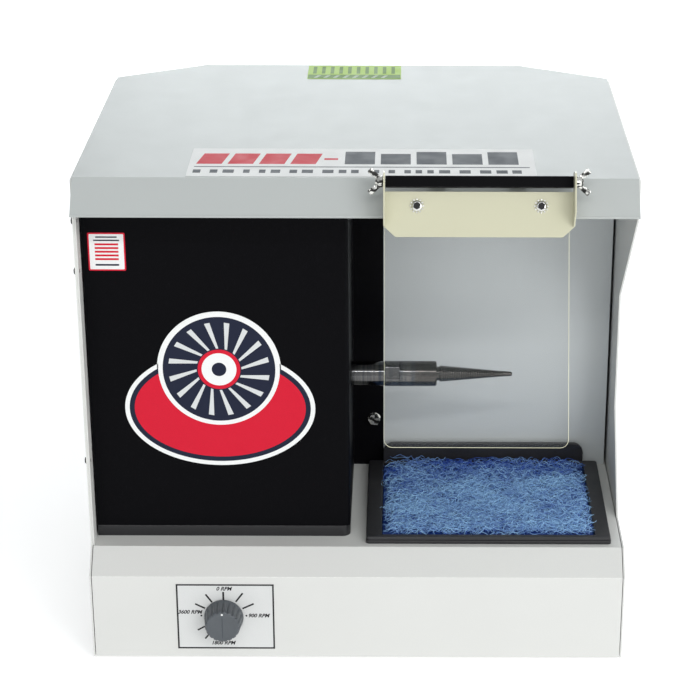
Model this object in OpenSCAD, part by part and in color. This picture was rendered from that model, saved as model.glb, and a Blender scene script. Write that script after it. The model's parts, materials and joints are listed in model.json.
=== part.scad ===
// Bench-top polishing machine: a sheet-steel cabinet with a dust hood, an enclosed motor that
// drives a tapered spindle and a suction fan, a lift-out filter tray and a tilting clear shield.
// Modules work with y = 0 at the front panel and z = 0 under the base; place() moves them to
// the row frame, whose origin is on the table under the middle of the cabinet.

/* [Cabinet] */
// Width across the front panel
cab_w = 480; // [400:1:600]
// Depth from the front panel to the back edge of the hood
cab_d = 384; // [340:1:480]
// Height from the underside of the base to the top of the hood
cab_h = 454.5; // [400:0.5:560]
// Height of the deck above the underside of the base
base_h = 103; // [100:1:130]
// Depth and height of the sloping edge above the front panel
bevel = 20.5; // [12:0.5:24]
// Thickness of the cabinet's sheet steel
sheet = 1.5; // [1:0.1:2]
// Gap between neighbouring sheets
seam = 0.6; // [0.2:0.1:0.8]
// How far each rear corner is cut back along the side
corner_y = 48; // [30:1:70]
// How far each rear corner is cut back along the rear
corner_x = 84; // [60:1:110]
// Height of the rubber feet
foot_h = 3; // [2:0.5:10]

/* [Hood] */
// Depth of the hood's sloping front band
band_run = 25; // [15:1:35]
// Height of the hood's sloping front band
band_drop = 27.5; // [20:0.5:36]
// How far the band's lower lip stands out in front of the front panel
lip_out = 6; // [2:1:12]
// Depth of the return under the lip
hem_d = 9; // [5:1:14]

/* [Chamber] */
// Distance from the front panel to the chamber's back wall
chamber_d = 196; // [185:1:220]
// Width taken by the motor cover, from the left edge
cover_w = 233; // [220:1:270]
// Distance from the front panel to the front of the motor cover
cover_y = 41; // [34:1:44]
// Height of the chassis strip under the motor cover
chassis_h = 10.5; // [8:0.5:14]
// Bend radius of the motor cover's corner
cover_r = 4; // [3:0.5:6]
// Width of the cover's flange on the back wall
flange_w = 29; // [24:1:36]

/* [Spindle] */
// Height of the spindle's axis above the deck
spindle_h = 129.6; // [110:0.1:160]
// Distance of the spindle's axis from the front panel
spindle_y = 118; // [112:1:122]
// Radius of the spindle's sleeve
sleeve_r = 11.2; // [10:0.1:14]
// Visible length of the sleeve
sleeve_l = 31; // [20:1:40]
// Radius of the spindle's body
body_r = 11.75; // [11:0.05:15]
// Length of the spindle's body
body_l = 48; // [40:1:60]
// Radius of the taper at its large end
taper_r = 7.8; // [6:0.1:9]
// Radius of the taper at its tip
tip_r = 1.9; // [1.5:0.1:3]
// Length of the threaded taper
taper_l = 67; // [50:1:90]
// Pitch of the thread on the taper
pitch = 2.1; // [1.8:0.1:3]
// Radius of the motor shaft
shaft_r = 6.35; // [5:0.05:8]

/* [Motor] */
// Outside radius of the motor
motor_r = 52; // [44:1:56]
// Length of each end bell
bell_l = 15; // [12:1:20]
// Radius of the fan wheel
fan_r = 58; // [45:1:60]
// Width of the fan housing
scroll_w = 42; // [34:1:46]
// Width of the suction duct
duct_w = 22; // [16:1:26]
// Radius of the fan housing's inlet
inlet_r = 34; // [25:1:38]

/* [Shield] */
// Lean of the shield from upright, bottom edge forward
tilt = 22.5; // [10:0.5:35]
// Distance of the pivot in front of the front panel
pivot_out = 5; // [3:1:9]
// Height of the pivot above the top of the hood
pivot_up = 4.5; // [2:0.5:10]
// Space between the motor cover and the shield
shield_left = 31; // [22:1:40]
// Space between the shield and the right side
shield_right = 56; // [40:1:70]
// Length of the shield from the pivot to its lower edge
shield_l = 222; // [180:1:240]
// Thickness of the clear pane
pane_t = 3; // [2:0.5:5]
// Width of the square pivot bar
bar = 9.5; // [8:0.5:12]
// Depth of the bracket's side ears
ear_d = 18; // [14:1:24]
// Length of the bracket below the pivot
plate_l = 46; // [40:1:60]
// Radius of the pivot studs
stud_r = 2.5; // [2:0.25:3]

/* [Filter tray] */
// Space between the motor cover and the tray
tray_left = 14.5; // [10:0.5:20]
// Space between the tray and the right side
tray_right = 9; // [5:0.5:14]
// Distance from the front panel to the tray's front edge
tray_front = 26; // [22:1:32]
// Space between the tray and the chamber's back wall
tray_back = 6; // [4:1:10]
// Width of the tray's rim
rim = 14.5; // [10:0.5:18]
// Width of the tray's rim at its front and back
rim_end = 6; // [5:0.5:10]
// Thickness of each of the rim's two layers
rim_t = 3.5; // [2:0.1:5]
// Height of the upstand behind the pad
upstand = 20; // [10:1:28]
// Corner radius of the upstand
up_r = 10; // [4:1:14]
// Depth of the tray's well below the deck
well_d = 22; // [15:1:30]
// Height of the filter pad above the rim
pad_up = 2; // [0:0.5:6]

/* [Speed control] */
// Distance of the knob's axis from the left edge of the cabinet
knob_x = 118.5; // [100:0.5:140]
// Radius of the knob
knob_r = 18; // [14:0.5:20]
// Depth of the knob
knob_l = 19; // [14:0.5:24]
// Number of grooves round the knob
flutes = 20; // [12:1:24]
// Width of the dial plate
dial_w = 88.7; // [80:0.1:100]
// Height of the dial plate
dial_h = 66.7; // [55:0.1:72]

/* [Hidden] */
$fn = 64;

cabinet_grey = [0.88, 0.89, 0.87];
hood_grey = [0.80, 0.84, 0.84];
powder_black = [0.05, 0.05, 0.06];
bare_steel = [0.32, 0.31, 0.30];
zinc = [0.75, 0.75, 0.73];
cream = [0.87, 0.86, 0.74];
ink_black = [0.08, 0.08, 0.09];

// Clearances
slack = 0.3;      // between parts that only lie side by side
run = 0.05;       // a shaft in its bearing
tray_slack = 1;   // round the tray's well in the deck
screw_slack = 0.3;
eps = 0.5;        // how far a cut runs past the face that it opens
label_t = 0.4;    // thickness of a stuck-on label

// Side positions
left_x = -cab_w / 2;
right_x = cab_w / 2;
cover_x = left_x + cover_w;
axis_z = base_h + spindle_h;
skin = seam + sheet;             // from the cabinet's outline to its outer face
hood_under = cab_h - sheet;
hood_low = cab_h - band_drop;
panel_top = cab_h - 3;

// Layout under the motor cover, from left to right
duct_x = left_x + 1.5;
scroll_x = duct_x + duct_w + slack;
scroll_end = scroll_x + scroll_w;
motor_x = scroll_end + 5;
motor_end = cover_x - sheet - 5;
can_x0 = motor_x + bell_l;
can_x1 = motor_end - bell_l;
motor_mid = (can_x0 + can_x1) / 2;
sleeve_x0 = cover_x - sheet - 3;
sleeve_end = cover_x + sleeve_l;
body_end = sleeve_end + body_l;
neck_l = 3;
taper_x0 = body_end + neck_l;
tip_x = taper_x0 + taper_l;
shaft_end = body_end - 12;       // the shaft stops inside the spindle's body
wheel_l = 30;
wheel_x = scroll_x + 5;
scroll_r = fan_r + 8;
scroll_wall = 1.5;
outlet_h = 46;
outlet_end = chamber_d + 12;

// Tray outline
tray_x0 = cover_x + tray_left;
tray_x1 = right_x - tray_right;
tray_y0 = tray_front;
tray_y1 = chamber_d - tray_back;
well_x0 = tray_x0 + rim;
well_x1 = tray_x1 - rim;
well_y0 = tray_y0 + rim_end;
well_y1 = tray_y1 - rim_end;
well_wall = 1.5;
tray_r = 3;
frame_in = 0.6;                   // the upper rim's edge, in from the lower rim's
frame_z = base_h + rim_t;
rim_z = base_h + 2 * rim_t;
screen_z = base_h - well_d + well_wall;
screen_t = 1.2;

// Shield
pivot_z = cab_h + pivot_up;
shield_x0 = cover_x + shield_left;
shield_x1 = right_x - shield_right;
ear_t = 1.3;
plate_top = 8;                    // from the pivot to the top edge of the bracket's plate
plate_back = 3.3;                 // the plate's back face lies this far behind the pivot
plate_face = plate_back - ear_t;
bar_x0 = shield_x0 + ear_t + slack;
bar_x1 = shield_x1 - ear_t - slack;
screw_in = 28;                    // bracket screws, in from the shield's sides
screw_down = 20;                  // bracket screws, down from the pivot
stud_out = 7;                     // stud beyond the bracket's ear

// Speed control
dial_x = left_x + knob_x;
dial_z = (base_h - bevel) / 2 + 0.6;
pot_r = 12;
pot_shaft_r = 3.15;

// Screws through the side panels, as [distance from the front, height]
side_low = 9;
side_high = cab_h - 15;
side_rows = [for (y = [45, chamber_d - 20, cab_d - corner_y - 20]) for (z = [side_low, side_high]) [y, z]];
stop_rows = [for (z = [base_h + 82, cab_h - 88.5, cab_h - 42.5]) [29, z]];
stop_end = 39;
screw_r = 1.75;
head_r = 3.4;
head_t = 2.2;
screw_l = skin + sheet + 3;

// ---- Outlines ----

function unit(v) = v / norm(v);
function left_of(v) = [-v[1], v[0]];
function miter(a, b) = (a + b) / (1 + a * b);
function edge_n(p, i) = left_of(unit(p[(i + 1) % len(p)] - p[i % len(p)]));
// A closed outline, anticlockwise, moved inwards by d
function inset(p, d) = [for (i = [0:len(p) - 1]) p[i] + d * miter(edge_n(p, i + len(p) - 1), edge_n(p, i))];
function path_n(p, i) = i == 0 ? edge_n(p, 0) : i == len(p) - 1 ? edge_n(p, i - 1)
    : miter(edge_n(p, i - 1), edge_n(p, i));
// An open path given a thickness t on its left
function folded(p, t) = concat(p, [for (i = [len(p) - 1:-1:0]) p[i] + t * path_n(p, i)]);
function arc(c, r, a0, a1, n) = [for (i = [0:n]) let (a = a0 + (a1 - a0) * i / n) c + r * [cos(a), sin(a)]];
function ellipse(a, b, n) = [for (i = [0:n - 1]) [a * cos(360 * i / n), b * sin(360 * i / n)]];
// A rectangle with round corners of radius r
function round_box(x0, y0, x1, y1, r, n = 6) = concat(
    arc([x1 - r, y0 + r], r, -90, 0, n), arc([x1 - r, y1 - r], r, 0, 90, n),
    arc([x0 + r, y1 - r], r, 90, 180, n), arc([x0 + r, y0 + r], r, 180, 270, n));
// The cabinet's plan from a front line y0, with its two rear corners cut off
function plan(y0) = [[left_x, y0], [right_x, y0], [right_x, cab_d - corner_y],
    [right_x - corner_x, cab_d], [left_x + corner_x, cab_d], [left_x, cab_d - corner_y]];

module place() translate([0, -cab_d / 2, foot_h]) children();
// An outline in (y, z) drawn out along x
module along_x(x0, x1) translate([x0, 0, 0]) rotate([90, 0, 90]) linear_extrude(x1 - x0) children();
// An outline in (x, z) drawn out along y
module along_y(y0, y1) translate([0, y1, 0]) rotate([90, 0, 0]) linear_extrude(y1 - y0) children();
module along_z(z0, z1) translate([0, 0, z0]) linear_extrude(z1 - z0) children();
module box(a, b) translate(a) cube(b - a);
module rod_x(r, x0, x1, y, z) translate([x0, y, z]) rotate([0, 90, 0]) cylinder(r = r, h = x1 - x0);
module rod_y(r, y0, y1, x, z) translate([x, y1, z]) rotate([90, 0, 0]) cylinder(r = r, h = y1 - y0);
module rod_z(r, z0, z1, x, y) translate([x, y, z0]) cylinder(r = r, h = z1 - z0);
module shaft_x(r, x0, x1) rod_x(r, x0, x1, spindle_y, axis_z);
// A round-headed screw along +x, its head outside x = 0
module screw(l) {
    translate([-head_t, 0, 0]) rotate([0, 90, 0]) cylinder(r1 = head_r * 0.7, r2 = head_r, h = head_t * 0.45);
    translate([-head_t * 0.55, 0, 0]) rotate([0, 90, 0]) cylinder(r = head_r, h = head_t * 0.55);
    rotate([0, 90, 0]) cylinder(r = screw_r, h = l);
}
module side_screws(x_out, dir, rows, l) for (p = rows) translate([x_out, p[0], p[1]])
    rotate([0, 0, dir > 0 ? 0 : 180]) screw(l);
// Clearance holes for the side screws, through every sheet that they pass
module side_holes() {
    for (p = side_rows) {
        rod_x(screw_r + screw_slack, left_x - 10, left_x + 20, p[0], p[1]);
        rod_x(screw_r + screw_slack, right_x - 20, right_x + 10, p[0], p[1]);
    }
}
rear_screw_x = [-corner_x * 0.9, corner_x * 0.9];
rear_screw_z = [side_low, side_high];
module rear_holes() for (x = rear_screw_x, z = rear_screw_z)
    rod_y(screw_r + screw_slack, cab_d - 20, cab_d + 10, x, z);
module shield_frame() translate([0, -pivot_out, pivot_z]) rotate([-tilt, 0, 0]) children();

// ---- Cabinet ----

foot_in = 32;
foot_back = 22;                   // rear feet, in front of the cut corners
foot_xy = [for (x = [left_x + foot_in, right_x - foot_in])
    for (y = [foot_in, cab_d - corner_y - foot_back]) [x, y]];
pan_h = 18;

module base_pan() color(cabinet_grey) place() difference() {
    along_z(0, pan_h) polygon(plan(skin));
    along_z(sheet, pan_h + eps) polygon(inset(plan(skin), sheet));
    for (p = foot_xy) rod_z(screw_r + screw_slack, -eps, sheet + eps, p[0], p[1]);
    for (p = post_xy) rod_z(screw_r + screw_slack, -eps, sheet + eps, p[0], p[1]);
    side_holes();
    rear_holes();
}

slot_y0 = spindle_y - 38;
slot_y1 = spindle_y + 38;
pot_hole_r = 4.9;

module front_deck() color(cabinet_grey) place() difference() {
    intersection() {
        along_x(left_x, right_x) polygon(folded(
            [[cab_d, base_h], [bevel, base_h], [0, base_h - bevel], [0, 0]], sheet));
        along_z(-eps, base_h + eps) polygon(plan(-eps));
    }
    box([well_x0 - well_wall - tray_slack, well_y0 - well_wall - tray_slack, base_h - sheet - eps],
        [well_x1 + well_wall + tray_slack, well_y1 + well_wall + tray_slack, base_h + eps]);
    box([duct_x + 1, slot_y0, base_h - sheet - eps], [duct_x + duct_w - 1, slot_y1, base_h + eps]);
    rod_y(pot_hole_r, -eps, sheet + eps, dial_x, dial_z);
}

module left_panel() color(cabinet_grey) place() difference() {
    along_x(left_x - skin, left_x - seam) polygon([[0, 0], [cab_d - corner_y, 0],
        [cab_d - corner_y, panel_top], [bevel, panel_top], [bevel, base_h], [0, base_h - bevel]]);
    side_holes();
    for (p = stop_rows) rod_x(screw_r + screw_slack, left_x - 10, left_x + 10, p[0], p[1]);
}

// The right side is cut away round the spindle, so that long work can pass
notch_y = 141;
notch_top = cab_h - 152.5;
notch_low = base_h + 87;
shoulder_y = 80;
notch_start = cab_h - 38.5;

module right_panel() color(cabinet_grey) place() difference() {
    along_x(right_x + seam, right_x + skin) polygon([[0, 0], [cab_d - corner_y, 0],
        [cab_d - corner_y, panel_top], [bevel + 1.5, panel_top], [bevel + 1.5, notch_start],
        [notch_y, notch_top], [notch_y, notch_low], [shoulder_y, base_h], [bevel, base_h],
        [0, base_h - bevel]]);
    side_holes();
}

vent_w = 150;
vent_h = 90;
vent_z = axis_z + 20;
inlet_x = 120;
inlet_z = 52;
inlet_w = 28;
inlet_h = 20;

module rear_cover() color(cabinet_grey) place() difference() {
    along_z(0, panel_top) difference() {
        polygon(inset(plan(0), -skin));
        polygon(inset(plan(0), -seam));
        translate([left_x - 20, -20]) square([cab_w + 40, cab_d - corner_y + seam + 20]);
    }
    box([-vent_w / 2, cab_d, vent_z - vent_h / 2], [vent_w / 2, cab_d + skin + eps, vent_z + vent_h / 2]);
    box([inlet_x - inlet_w / 2, cab_d, inlet_z - inlet_h / 2],
        [inlet_x + inlet_w / 2, cab_d + skin + eps, inlet_z + inlet_h / 2]);
    rear_holes();
}

bolt_in = 20;                     // flange bolts, out from the cover's wall
bolt_rows = [base_h + 49.5, cab_h - 68];
outlet_z0 = axis_z + scroll_r + scroll_wall - outlet_h;
module outlet_shape(grow) translate([scroll_x - grow, outlet_z0 - grow])
    square([scroll_w + 2 * grow, outlet_h + 2 * grow]);

module back_wall() color(hood_grey) place() difference() {
    along_x(left_x + sheet + slack, right_x - sheet - slack) polygon(folded(
        [[chamber_d + 16, base_h], [chamber_d, base_h], [chamber_d, hood_under - slack],
        [chamber_d + 16, hood_under - slack]], -sheet));
    along_y(chamber_d - eps, chamber_d + sheet + eps) outlet_shape(1);
    for (z = bolt_rows) rod_y(3.2, chamber_d - eps, chamber_d + sheet + eps, cover_x + bolt_in, z);
}

hood_front = [[-lip_out, hood_low], [cab_d, hood_low], [cab_d, cab_h], [band_run - lip_out, cab_h]];
hood_inner = inset(hood_front, sheet);
module hood() color(hood_grey) place() {
    difference() {
        intersection() {
            along_x(left_x, right_x) polygon(hood_front);
            along_z(hood_low, cab_h) polygon(plan(-lip_out));
        }
        intersection() {
            along_x(left_x + sheet, right_x - sheet) polygon([
                [hood_inner[0][0] - sheet * 1.1, hood_low - eps], [hood_inner[1][0], hood_low - eps],
                hood_inner[2], hood_inner[3]]);
            along_z(hood_low - 1, cab_h) polygon(inset(plan(-lip_out), sheet));
        }
        side_holes();
        rear_holes();
    }
    box([left_x + sheet / 2, sheet / 2 - lip_out, hood_low],
        [right_x - sheet / 2, hem_d - lip_out, hood_low + sheet]);
}

module cover_stop() color(cabinet_grey) place() difference() {
    box([left_x - seam + 0.01, bevel + 1.5, base_h], [left_x - seam + sheet, stop_end, hood_low - slack]);
    for (p = stop_rows) rod_x(screw_r + screw_slack, left_x - 10, left_x + 10, p[0], p[1]);
}

// ---- Motor cover and chassis ----

chassis_r = 7;
function cover_plan(x1, y0, r) = concat([[left_x + sheet + slack, y0 + 34], [left_x + sheet + slack, y0]],
    arc([x1 - r, y0 + r], r, -90, 0, 6));

module motor_chassis() color(powder_black) place() difference() {
    union() {
        along_z(base_h, base_h + chassis_h) polygon(folded(concat(
            cover_plan(cover_x, cover_y, chassis_r), [[cover_x, chamber_d - 4]]), sheet));
        along_z(base_h, base_h + sheet) polygon(concat(cover_plan(cover_x, cover_y, chassis_r),
            [[cover_x, chamber_d - 4], [left_x + sheet + slack, chamber_d - 4]]));
    }
    box([duct_x + 1, slot_y0, base_h - eps], [duct_x + duct_w - 1, slot_y1, base_h + sheet + eps]);
}

cover_z0 = base_h + chassis_h + slack;
module motor_cover() color(powder_black) place() difference() {
    union() {
        along_z(cover_z0, hood_under - slack) polygon(folded(concat(
            cover_plan(cover_x, cover_y, cover_r), [[cover_x, chamber_d - slack]]), sheet));
        along_z(base_h + slack, hood_under - slack) polygon([[cover_x - sheet, chamber_d - sheet - slack],
            [cover_x + flange_w, chamber_d - sheet - slack], [cover_x + flange_w, chamber_d - slack],
            [cover_x - sheet, chamber_d - slack]]);
    }
    shaft_x(sleeve_r + 2, cover_x - 5, cover_x + 5);
    for (z = bolt_rows) rod_y(3.2, chamber_d - 5, chamber_d + eps, cover_x + bolt_in, z);
    side_holes();
}

module hex_bolt(l) {
    translate([0, 0, -4]) cylinder(r = 6, h = 4, $fn = 6);
    translate([0, 0, -slack / 3]) cylinder(r = 6.2, h = slack / 3);
    cylinder(r = 3, h = l);
    translate([0, 0, l - 5]) cylinder(r = 5.7, h = 5, $fn = 6);
}
module flange_bolts() color(zinc) place() for (z = bolt_rows)
    translate([cover_x + bolt_in, chamber_d - sheet - slack, z]) rotate([-90, 0, 0])
        hex_bolt(2 * sheet + 5 + slack);

module panel_screws() color(ink_black) place() {
    side_screws(left_x - skin, 1, side_rows, screw_l);
    side_screws(left_x - skin, 1, stop_rows, 2 * sheet);
    side_screws(right_x + skin, -1, side_rows, screw_l);
}
module rear_screws() color(ink_black) place() for (x = rear_screw_x, z = rear_screw_z)
    translate([x, cab_d + skin, z]) rotate([0, 0, -90]) screw(screw_l);

module motor_can() color(powder_black) place() difference() {
    shaft_x(motor_r, can_x0, can_x1);
    shaft_x(motor_r - 4, can_x0 - eps, can_x1 + eps);
}
module field_magnets() color(ink_black) place() intersection() {
    difference() {
        shaft_x(motor_r - 4, can_x0 + 8, can_x1 - 8);
        shaft_x(motor_r - 14, can_x0 + 7, can_x1 - 7);
    }
    union() {
        box([can_x0, 0, axis_z + 14], [can_x1, chamber_d, axis_z + motor_r]);
        box([can_x0, 0, axis_z - motor_r], [can_x1, chamber_d, axis_z - 14]);
    }
}
bearing_r = 16;
bearing_l = 9;
module end_bell(x0, x1, seat_x) color([0.55, 0.56, 0.57]) place() difference() {
    shaft_x(motor_r, x0, x1);
    shaft_x(motor_r - 8, seat_x, seat_x < motor_mid ? x1 + eps : seat_x + 0.01);
    shaft_x(shaft_r + 2, x0 - eps, x1 + eps);
    shaft_x(bearing_r, seat_x < motor_mid ? seat_x : seat_x - bearing_l,
        seat_x < motor_mid ? seat_x + bearing_l : seat_x);
}
module end_bell_left() end_bell(motor_x, can_x0, motor_x + 3);
module end_bell_right() end_bell(can_x1, motor_end, motor_end - 3);
module bearing(x) color(zinc) place() difference() {
    shaft_x(bearing_r, x, x + bearing_l);
    shaft_x(shaft_r + run, x - eps, x + bearing_l + eps);
}
module bearing_left() bearing(motor_x + 3);
module bearing_right() bearing(motor_end - 3 - bearing_l);

cradle_t = 6;
cradle_xs = [can_x0 + 10, can_x1 - 10 - cradle_t];
cradle_z = base_h + sheet;
cradle_half = 44;
strap_w = 16;
strap_t = 1.6;
module motor_cradle() color(powder_black) place() difference() {
    union() {
        box([cradle_xs[0] - 6, spindle_y - cradle_half, cradle_z],
            [cradle_xs[1] + 12, spindle_y + cradle_half, cradle_z + 4]);
        for (x = cradle_xs) box([x, spindle_y - cradle_half, cradle_z + 4],
            [x + cradle_t, spindle_y + cradle_half, axis_z - 22]);
    }
    shaft_x(motor_r, can_x0 - eps, can_x1 + eps);
    for (x = cradle_bolt_xs, y = cradle_bolt_ys) rod_z(3.3, cradle_z - eps, cradle_z + 4 + eps, x, y);
}
cradle_bolt_xs = [cradle_xs[0] + cradle_t + 9, cradle_xs[1] - 9];
cradle_bolt_ys = [spindle_y - cradle_half + 10, spindle_y + cradle_half - 10];
module cradle_bolts() color(zinc) place() for (x = cradle_bolt_xs, y = cradle_bolt_ys) {
    translate([x, y, cradle_z + 4]) cylinder(r = 5.5, h = 4, $fn = 6);
    rod_z(3, cradle_z, cradle_z + 4, x, y);
}
module motor_straps() color(zinc) place() for (x = cradle_xs) {
    difference() {
        shaft_x(motor_r + strap_t, x + cradle_t / 2 - strap_w / 2, x + cradle_t / 2 + strap_w / 2);
        shaft_x(motor_r, x - strap_w, x + strap_w * 2);
        box([x - strap_w, 0, axis_z - motor_r - 5], [x + 2 * strap_w, chamber_d, axis_z - 22]);
    }
}

// ---- Rotor ----

module armature() color([0.45, 0.30, 0.18]) place() difference() {
    shaft_x(motor_r - 16, can_x0 + 22, can_x1 - 14);
    shaft_x(shaft_r, can_x0, can_x1);
    for (a = [0:30:330]) translate([0, spindle_y, axis_z]) rotate([a, 0, 0])
        box([can_x0, -2, motor_r - 26], [can_x1, 2, motor_r]);
}
module commutator() color([0.72, 0.42, 0.22]) place() difference() {
    shaft_x(17, can_x0 + 4, can_x0 + 19);
    shaft_x(shaft_r, can_x0, can_x0 + 20);
}
module rotor_shaft() color(zinc) place() shaft_x(shaft_r, wheel_x + 2, shaft_end);

// The spindle is one turned piece: sleeve, body with two wrench flats, and a threaded taper
flat_half = 10.05;
flat_l = 14;
function thread_r(x) = taper_r + (tip_r - taper_r) * x / taper_l;
thread_depth = 0.55;
turns = floor((taper_l - 4) / pitch);
thread = [for (i = [0:turns - 1]) for (k = [0, 1])
    [(i + k / 2) * pitch, thread_r((i + k / 2) * pitch) - k * thread_depth]];
module taper_spindle() color(bare_steel) place() difference() {
    translate([0, spindle_y, axis_z]) rotate([0, 90, 0]) rotate_extrude() rotate([0, 0, 90]) polygon(concat(
        [[sleeve_x0, 0], [sleeve_x0, sleeve_r], [sleeve_end, sleeve_r], [sleeve_end, body_r],
        [body_end - 1, body_r], [body_end, body_r - 1], [body_end, taper_r - 1.3], [taper_x0, taper_r - 1.3]],
        [for (p = thread) [taper_x0 + p[0], p[1]]],
        [[tip_x - 3, tip_r + 0.2], [tip_x - 1, tip_r], [tip_x, tip_r * 0.5], [tip_x, 0]]));
    shaft_x(shaft_r, sleeve_x0 - eps, shaft_end);
    for (s = [0, 180]) translate([0, spindle_y, axis_z]) rotate([-tilt + s, 0, 0])
        box([sleeve_end, -20, -20], [sleeve_end + flat_l, -flat_half, 20]);
    translate([set_x, spindle_y, axis_z]) rotate([180, 0, 0]) cylinder(r = 2.5, h = sleeve_r + eps);
}
set_x = cover_x + sleeve_l / 2;
module spindle_set_screw() color(ink_black) place() translate([set_x, spindle_y, axis_z - sleeve_r + 0.6])
    difference() {
        cylinder(r = 2.5, h = sleeve_r - shaft_r - 0.6);
        translate([0, 0, -eps]) cylinder(r = 1.4, h = 2 + eps, $fn = 6);
    }

blades = 20;
blade_t = 1.2;
module fan_wheel() color([0.6, 0.61, 0.62]) place() difference() {
    union() {
        shaft_x(fan_r, wheel_x + wheel_l - 2, wheel_x + wheel_l);
        shaft_x(13, wheel_x + 6, wheel_x + wheel_l);
        difference() {
            shaft_x(fan_r, wheel_x, wheel_x + 1.5);
            shaft_x(fan_r - 18, wheel_x - eps, wheel_x + 2);
        }
        for (i = [0:blades - 1]) translate([0, spindle_y, axis_z]) rotate([i * 360 / blades, 0, 0])
            box([wheel_x, -blade_t / 2, fan_r - 17], [wheel_x + wheel_l - 1, blade_t / 2, fan_r - 0.5]);
    }
    shaft_x(shaft_r, wheel_x - eps, wheel_x + wheel_l + eps);
}

module scroll_shape(r, grow) {
    shaft_x(r, scroll_x + scroll_wall - grow, scroll_end - scroll_wall + grow);
    along_y(spindle_y, outlet_end + (grow > 0 ? 0 : eps))
        translate([scroll_x + scroll_wall - grow, outlet_z0 + scroll_wall - grow])
            square([scroll_w - 2 * scroll_wall + 2 * grow, outlet_h - 2 * scroll_wall + 2 * grow]);
}
module fan_scroll() color(hood_grey) place() difference() {
    scroll_shape(scroll_r + scroll_wall, scroll_wall);
    scroll_shape(scroll_r, 0);
    shaft_x(inlet_r, scroll_x - eps, scroll_x + scroll_wall + eps);
    shaft_x(shaft_r + 4, scroll_end - scroll_wall - eps, scroll_end + eps);
}
duct_z0 = base_h + sheet;
duct_z1 = axis_z + inlet_r + 8;
module suction_duct() color(hood_grey) place() difference() {
    box([duct_x, slot_y0 - 1, duct_z0], [duct_x + duct_w, slot_y1 + 1, duct_z1]);
    box([duct_x + 1, slot_y0, duct_z0 - eps], [duct_x + duct_w - 1, slot_y1, duct_z1 - 1]);
    shaft_x(inlet_r, duct_x + duct_w - 2, duct_x + duct_w + eps);
}
module scroll_stand() color(powder_black) place() difference() {
    box([scroll_x + 6, spindle_y - 40, base_h + sheet],
        [scroll_end - 6, spindle_y + 40, axis_z - scroll_r + 14]);
    box([scroll_x, spindle_y - 37, base_h + sheet + 2], [scroll_end, spindle_y + 37, axis_z]);
    shaft_x(scroll_r + scroll_wall, scroll_x, scroll_end);
}

// ---- Base: plenum wall and speed control ----

wall_y = 62;
pan_lip = skin + sheet + slack;      // inner face of the base pan's front lip
plenum_x1 = cover_x + tray_left / 2;
module plenum_wall() color(cabinet_grey) place() {
    box([left_x + sheet + slack, wall_y, sheet], [plenum_x1, wall_y + sheet, base_h - sheet]);
    along_x(plenum_x1 - sheet, plenum_x1) polygon([[pan_lip, sheet], [wall_y, sheet],
        [wall_y, base_h - sheet], [bevel + sheet, base_h - sheet], [pan_lip, base_h - bevel - pan_lip]]);
}
board_x0 = dial_x + 52;
board_x1 = cover_x - 8;
board_y0 = 12;
board_y1 = wall_y - 6;
post_h = 8;
post_xy = [for (x = [board_x0 + 5, board_x1 - 5]) for (y = [board_y0 + 5, board_y1 - 5]) [x, y]];
module board_posts() color(zinc) place() for (p = post_xy) difference() {
    rod_z(3, sheet, sheet + post_h, p[0], p[1]);
    rod_z(1.3, sheet - eps, sheet + post_h + eps, p[0], p[1]);
}
board_z = sheet + post_h + 1.6;
module control_board() color([0.10, 0.35, 0.16]) place() {
    box([board_x0, board_y0, sheet + post_h], [board_x1, board_y1, board_z]);
    box([board_x0 + 12, board_y1 - 12, board_z], [board_x1 - 12, board_y1 - 3, board_z + 30]);
    for (x = [board_x0 + 12:9:board_x1 - 16])
        box([x, board_y1 - 28, board_z], [x + 2, board_y1 - 12, board_z + 30]);
    for (x = [board_x0 + 18, board_x1 - 22]) rod_z(6, board_z, board_z + 22, x, board_y0 + 9);
}
module potentiometer() color([0.15, 0.25, 0.45]) place() difference() {
    union() {
        rod_y(pot_r, sheet, sheet + 14, dial_x, dial_z);
        rod_y(pot_hole_r - 0.1, -3.5, sheet, dial_x, dial_z);
        box([dial_x - 8, sheet + 6, dial_z - pot_r - 8], [dial_x + 8, sheet + 8, dial_z]);
    }
    rod_y(pot_shaft_r + run, -4, sheet + 12, dial_x, dial_z);
}
module pot_nut() color(zinc) place() difference() {
    translate([dial_x, -label_t, dial_z]) rotate([90, 0, 0]) cylinder(r = 7, h = 2.4, $fn = 6);
    rod_y(pot_hole_r - 0.1, -4, eps, dial_x, dial_z);
}
module pot_shaft() color(zinc) place() rod_y(pot_shaft_r, -knob_l + 3, sheet + 11, dial_x, dial_z);

// The knob: a grooved skirt narrowing to a flat face with a pointer line
knob_gap = 1.2;
knob_end = -knob_gap - knob_l;
module speed_knob() color([0.30, 0.32, 0.34]) place() difference() {
    union() {
        translate([dial_x, -knob_gap, dial_z]) rotate([90, 0, 0])
            cylinder(r1 = knob_r, r2 = knob_r - 2, h = knob_l - 1);
        translate([dial_x, 1 + knob_end, dial_z]) rotate([90, 0, 0])
            cylinder(r1 = knob_r - 2, r2 = knob_r - 3, h = 1);
    }
    for (i = [0:flutes - 1]) translate([dial_x, 0, dial_z]) rotate([0, (i + 0.5) * 360 / flutes, 0])
        rod_y(1.5, -knob_l - 5, -knob_gap - 4, knob_r + 0.1, 0);
    rod_y(pot_shaft_r, -knob_l + 3, eps, dial_x, dial_z);
    rod_y(9, -5, eps, dial_x, dial_z);
    box([dial_x - 0.5, knob_end - eps, dial_z - knob_r + 5],
        [dial_x + 0.5, knob_end + 0.5, dial_z + knob_r - 5]);
}
dial_off = 1.6;                   // the plate's middle is this far to the right of the knob
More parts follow.
